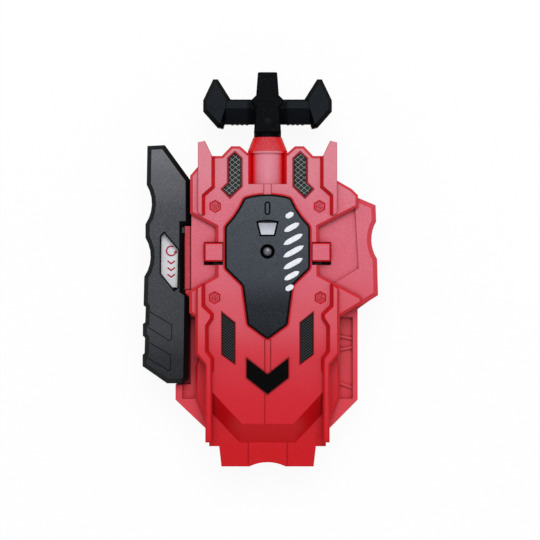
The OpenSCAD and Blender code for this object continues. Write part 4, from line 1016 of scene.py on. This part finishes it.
def carryOval(name, centre, halfWidth, halfHeight, material):
    # a flattened oval carried along a line: point = line + sideways * halfWidth * c + up *
    # halfHeight * sin(a), where c is cos(a) pushed out towards its ends
    squareness, segments = 0.4, 12
    ahead = np.gradient(centre, axis=0)
    ahead /= np.linalg.norm(ahead, axis=1)[:, None]
    sideways = np.stack([ahead[:, 1], -ahead[:, 0], np.zeros(len(ahead))], axis=1)
    angle = wholeTurn(segments)
    flat = np.sign(np.cos(angle)) * np.abs(np.cos(angle)) ** squareness
    out = np.broadcast_to(halfWidth, len(centre))[:, None] * flat
    rings = centre[:, None, :] + sideways[:, None, :] * out[:, :, None]
    rings[:, :, 2] += halfHeight * np.sin(angle)
    return addCapped(name, rings, [material])


def plateBars():
    # a run of slanted bars down the plate, longest in the middle, each pointed at both ends:
    # width = full width * (1 - t^4)
    bars = dict(count=7, fromY=14.5, toY=-14.5, sideX=8.8, bow=1.6, slant=0.55, longest=4.1,
                shortest=1.6, width=1.05, point=0.02, height=0.08, steps=25)
    top = boxInMm("center_plate")[1][2]
    t = np.linspace(-1, 1, bars["steps"])
    width = bars["width"] * np.maximum(1 - t ** 4, bars["point"])
    for i, share in enumerate(np.linspace(0, 1, bars["count"])):
        swell = 1 - (2 * share - 1) ** 2
        half = bars["shortest"] + (bars["longest"] - bars["shortest"]) * swell
        x = bars["sideX"] + bars["bow"] * swell
        y = bars["fromY"] + (bars["toY"] - bars["fromY"]) * share
        line = np.stack([x + half * t, y + half * bars["slant"] * t, np.full(len(t), top)], axis=1)
        carryOval(f"plate_bar_{i + 1}", line, width, bars["height"], printWhite)


def cardArrow():
    # a turn arrow over small chevrons, printed on the direction card: an arc of a circle, a
    # tapered head along its end, and y = rise * |x| for each chevron
    arrow = dict(centre=(-38.9, 0.3), radius=1.9, line=0.32, start=60, sweep=285, steps=40,
                 head=0.9, headFrom=-0.4, headTo=1.2, headSteps=8, point=0.03, height=0.03,
                 chevrons=3, chevronFrom=5.2, chevronStep=2.7, chevronHalf=1.5,
                 chevronRise=0.8, chevronSteps=17)
    top = boxInMm("direction_card")[1][2]
    cx, cy = arrow["centre"]
    radius, line, height = arrow["radius"], arrow["line"], arrow["height"]
    angle = np.radians(np.linspace(arrow["start"], arrow["start"] + arrow["sweep"], arrow["steps"]))
    ring = np.stack([
        cx + radius * np.cos(angle), cy + radius * np.sin(angle), np.full(len(angle), top)
    ], axis=1)
    carryOval("card_arrow_ring", ring, line, height, printRed)
    t = np.linspace(0, 1, arrow["headSteps"])
    along = np.array([-np.sin(angle[-1]), np.cos(angle[-1]), 0]) * arrow["head"]
    reach = arrow["headFrom"] + (arrow["headTo"] - arrow["headFrom"]) * t[:, None]
    width = arrow["head"] * np.maximum(1 - t, arrow["point"])
    carryOval("card_arrow_head", ring[-1] + along * reach, width, height, printRed)
    x = arrow["chevronHalf"] * np.linspace(-1, 1, arrow["chevronSteps"])
    for i in range(arrow["chevrons"]):
        low = cy - arrow["chevronFrom"] - i * arrow["chevronStep"]
        chevron = np.stack([
            cx + x, low + arrow["chevronRise"] * np.abs(x), np.full(len(x), top)
        ], axis=1)
        carryOval(f"card_chevron_{i + 1}", chevron, line, height, printRed)


plateBars()
cardArrow()
print("printed marks made")


def makeStage():
    # in metres and watts
    studio = dict(floorHalf=3.0, floorDrop=0.0001, floorPaint=0.9, emitShare=0.92, sky=0.62,
                  boxSize=0.55, boxAt=(0.05, 0.34, 0.9), boxPower=5.0)
    mesh = bpy.data.meshes.new("studioFloor")
    h, d = studio["floorHalf"], -studio["floorDrop"]
    mesh.from_pydata([(-h, -h, d), (h, -h, d), (h, h, d), (-h, h, d)], [], [(0, 1, 2, 3)])
    linkObject("studioFloor", mesh)
    material = bpy.data.materials.new("floorWhite")
    material.use_nodes = True
    tree = material.node_tree
    tree.nodes.clear()
    # camera, glossy and transmission rays see a white floor, and it keeps the object's shadow
    rays = tree.nodes.new("ShaderNodeLightPath").outputs
    seen = calc("MAXIMUM", rays["Is Camera Ray"], rays["Is Glossy Ray"])
    seen = calc("MAXIMUM", seen, rays["Is Transmission Ray"])
    p = studio["floorPaint"]
    paint = addNode(tree, "BsdfDiffuse", {"Color": (p, p, p, 1)}).outputs[0]
    glow = addNode(tree, "Emission", {"Color": (1, 1, 1, 1), "Strength": 1.0}).outputs[0]
    share = times(seen, studio["emitShare"])
    mixed = addNode(tree, "MixShader", {0: share, 1: paint, 2: glow}).outputs[0]
    addNode(tree, "OutputMaterial", {0: mixed})
    mesh.materials.append(material)
    world = bpy.data.worlds.new("studioSky")
    world.use_nodes = True
    background = world.node_tree.nodes["Background"]
    feedNode(background, {0: (1, 1, 1, 1), 1: studio["sky"]})
    bpy.context.scene.world = world
    lamp = bpy.data.lights.new("softBox", "AREA")
    lamp.shape = "SQUARE"
    lamp.size = studio["boxSize"]
    lamp.energy = studio["boxPower"]
    box = linkObject("softBox", lamp)
    x, y, z = box.location = studio["boxAt"]
    box.rotation_euler = (-np.arctan2(y, z), np.arctan2(x, z), 0)


def makeCamera():
    view = dict(place=(0.001, -0.0074, 0.8315), sensor=36.0, lens=133.3, near=0.01)
    data = bpy.data.cameras.new("topCamera")
    data.sensor_width = view["sensor"]
    data.lens = view["lens"]
    data.clip_start = view["near"]
    camera = linkObject("topCamera", data)
    camera.location = view["place"]
    bpy.context.scene.camera = camera


makeStage()
makeCamera()
bpy.context.scene.view_settings.view_transform = "Standard"
print("studio ready")
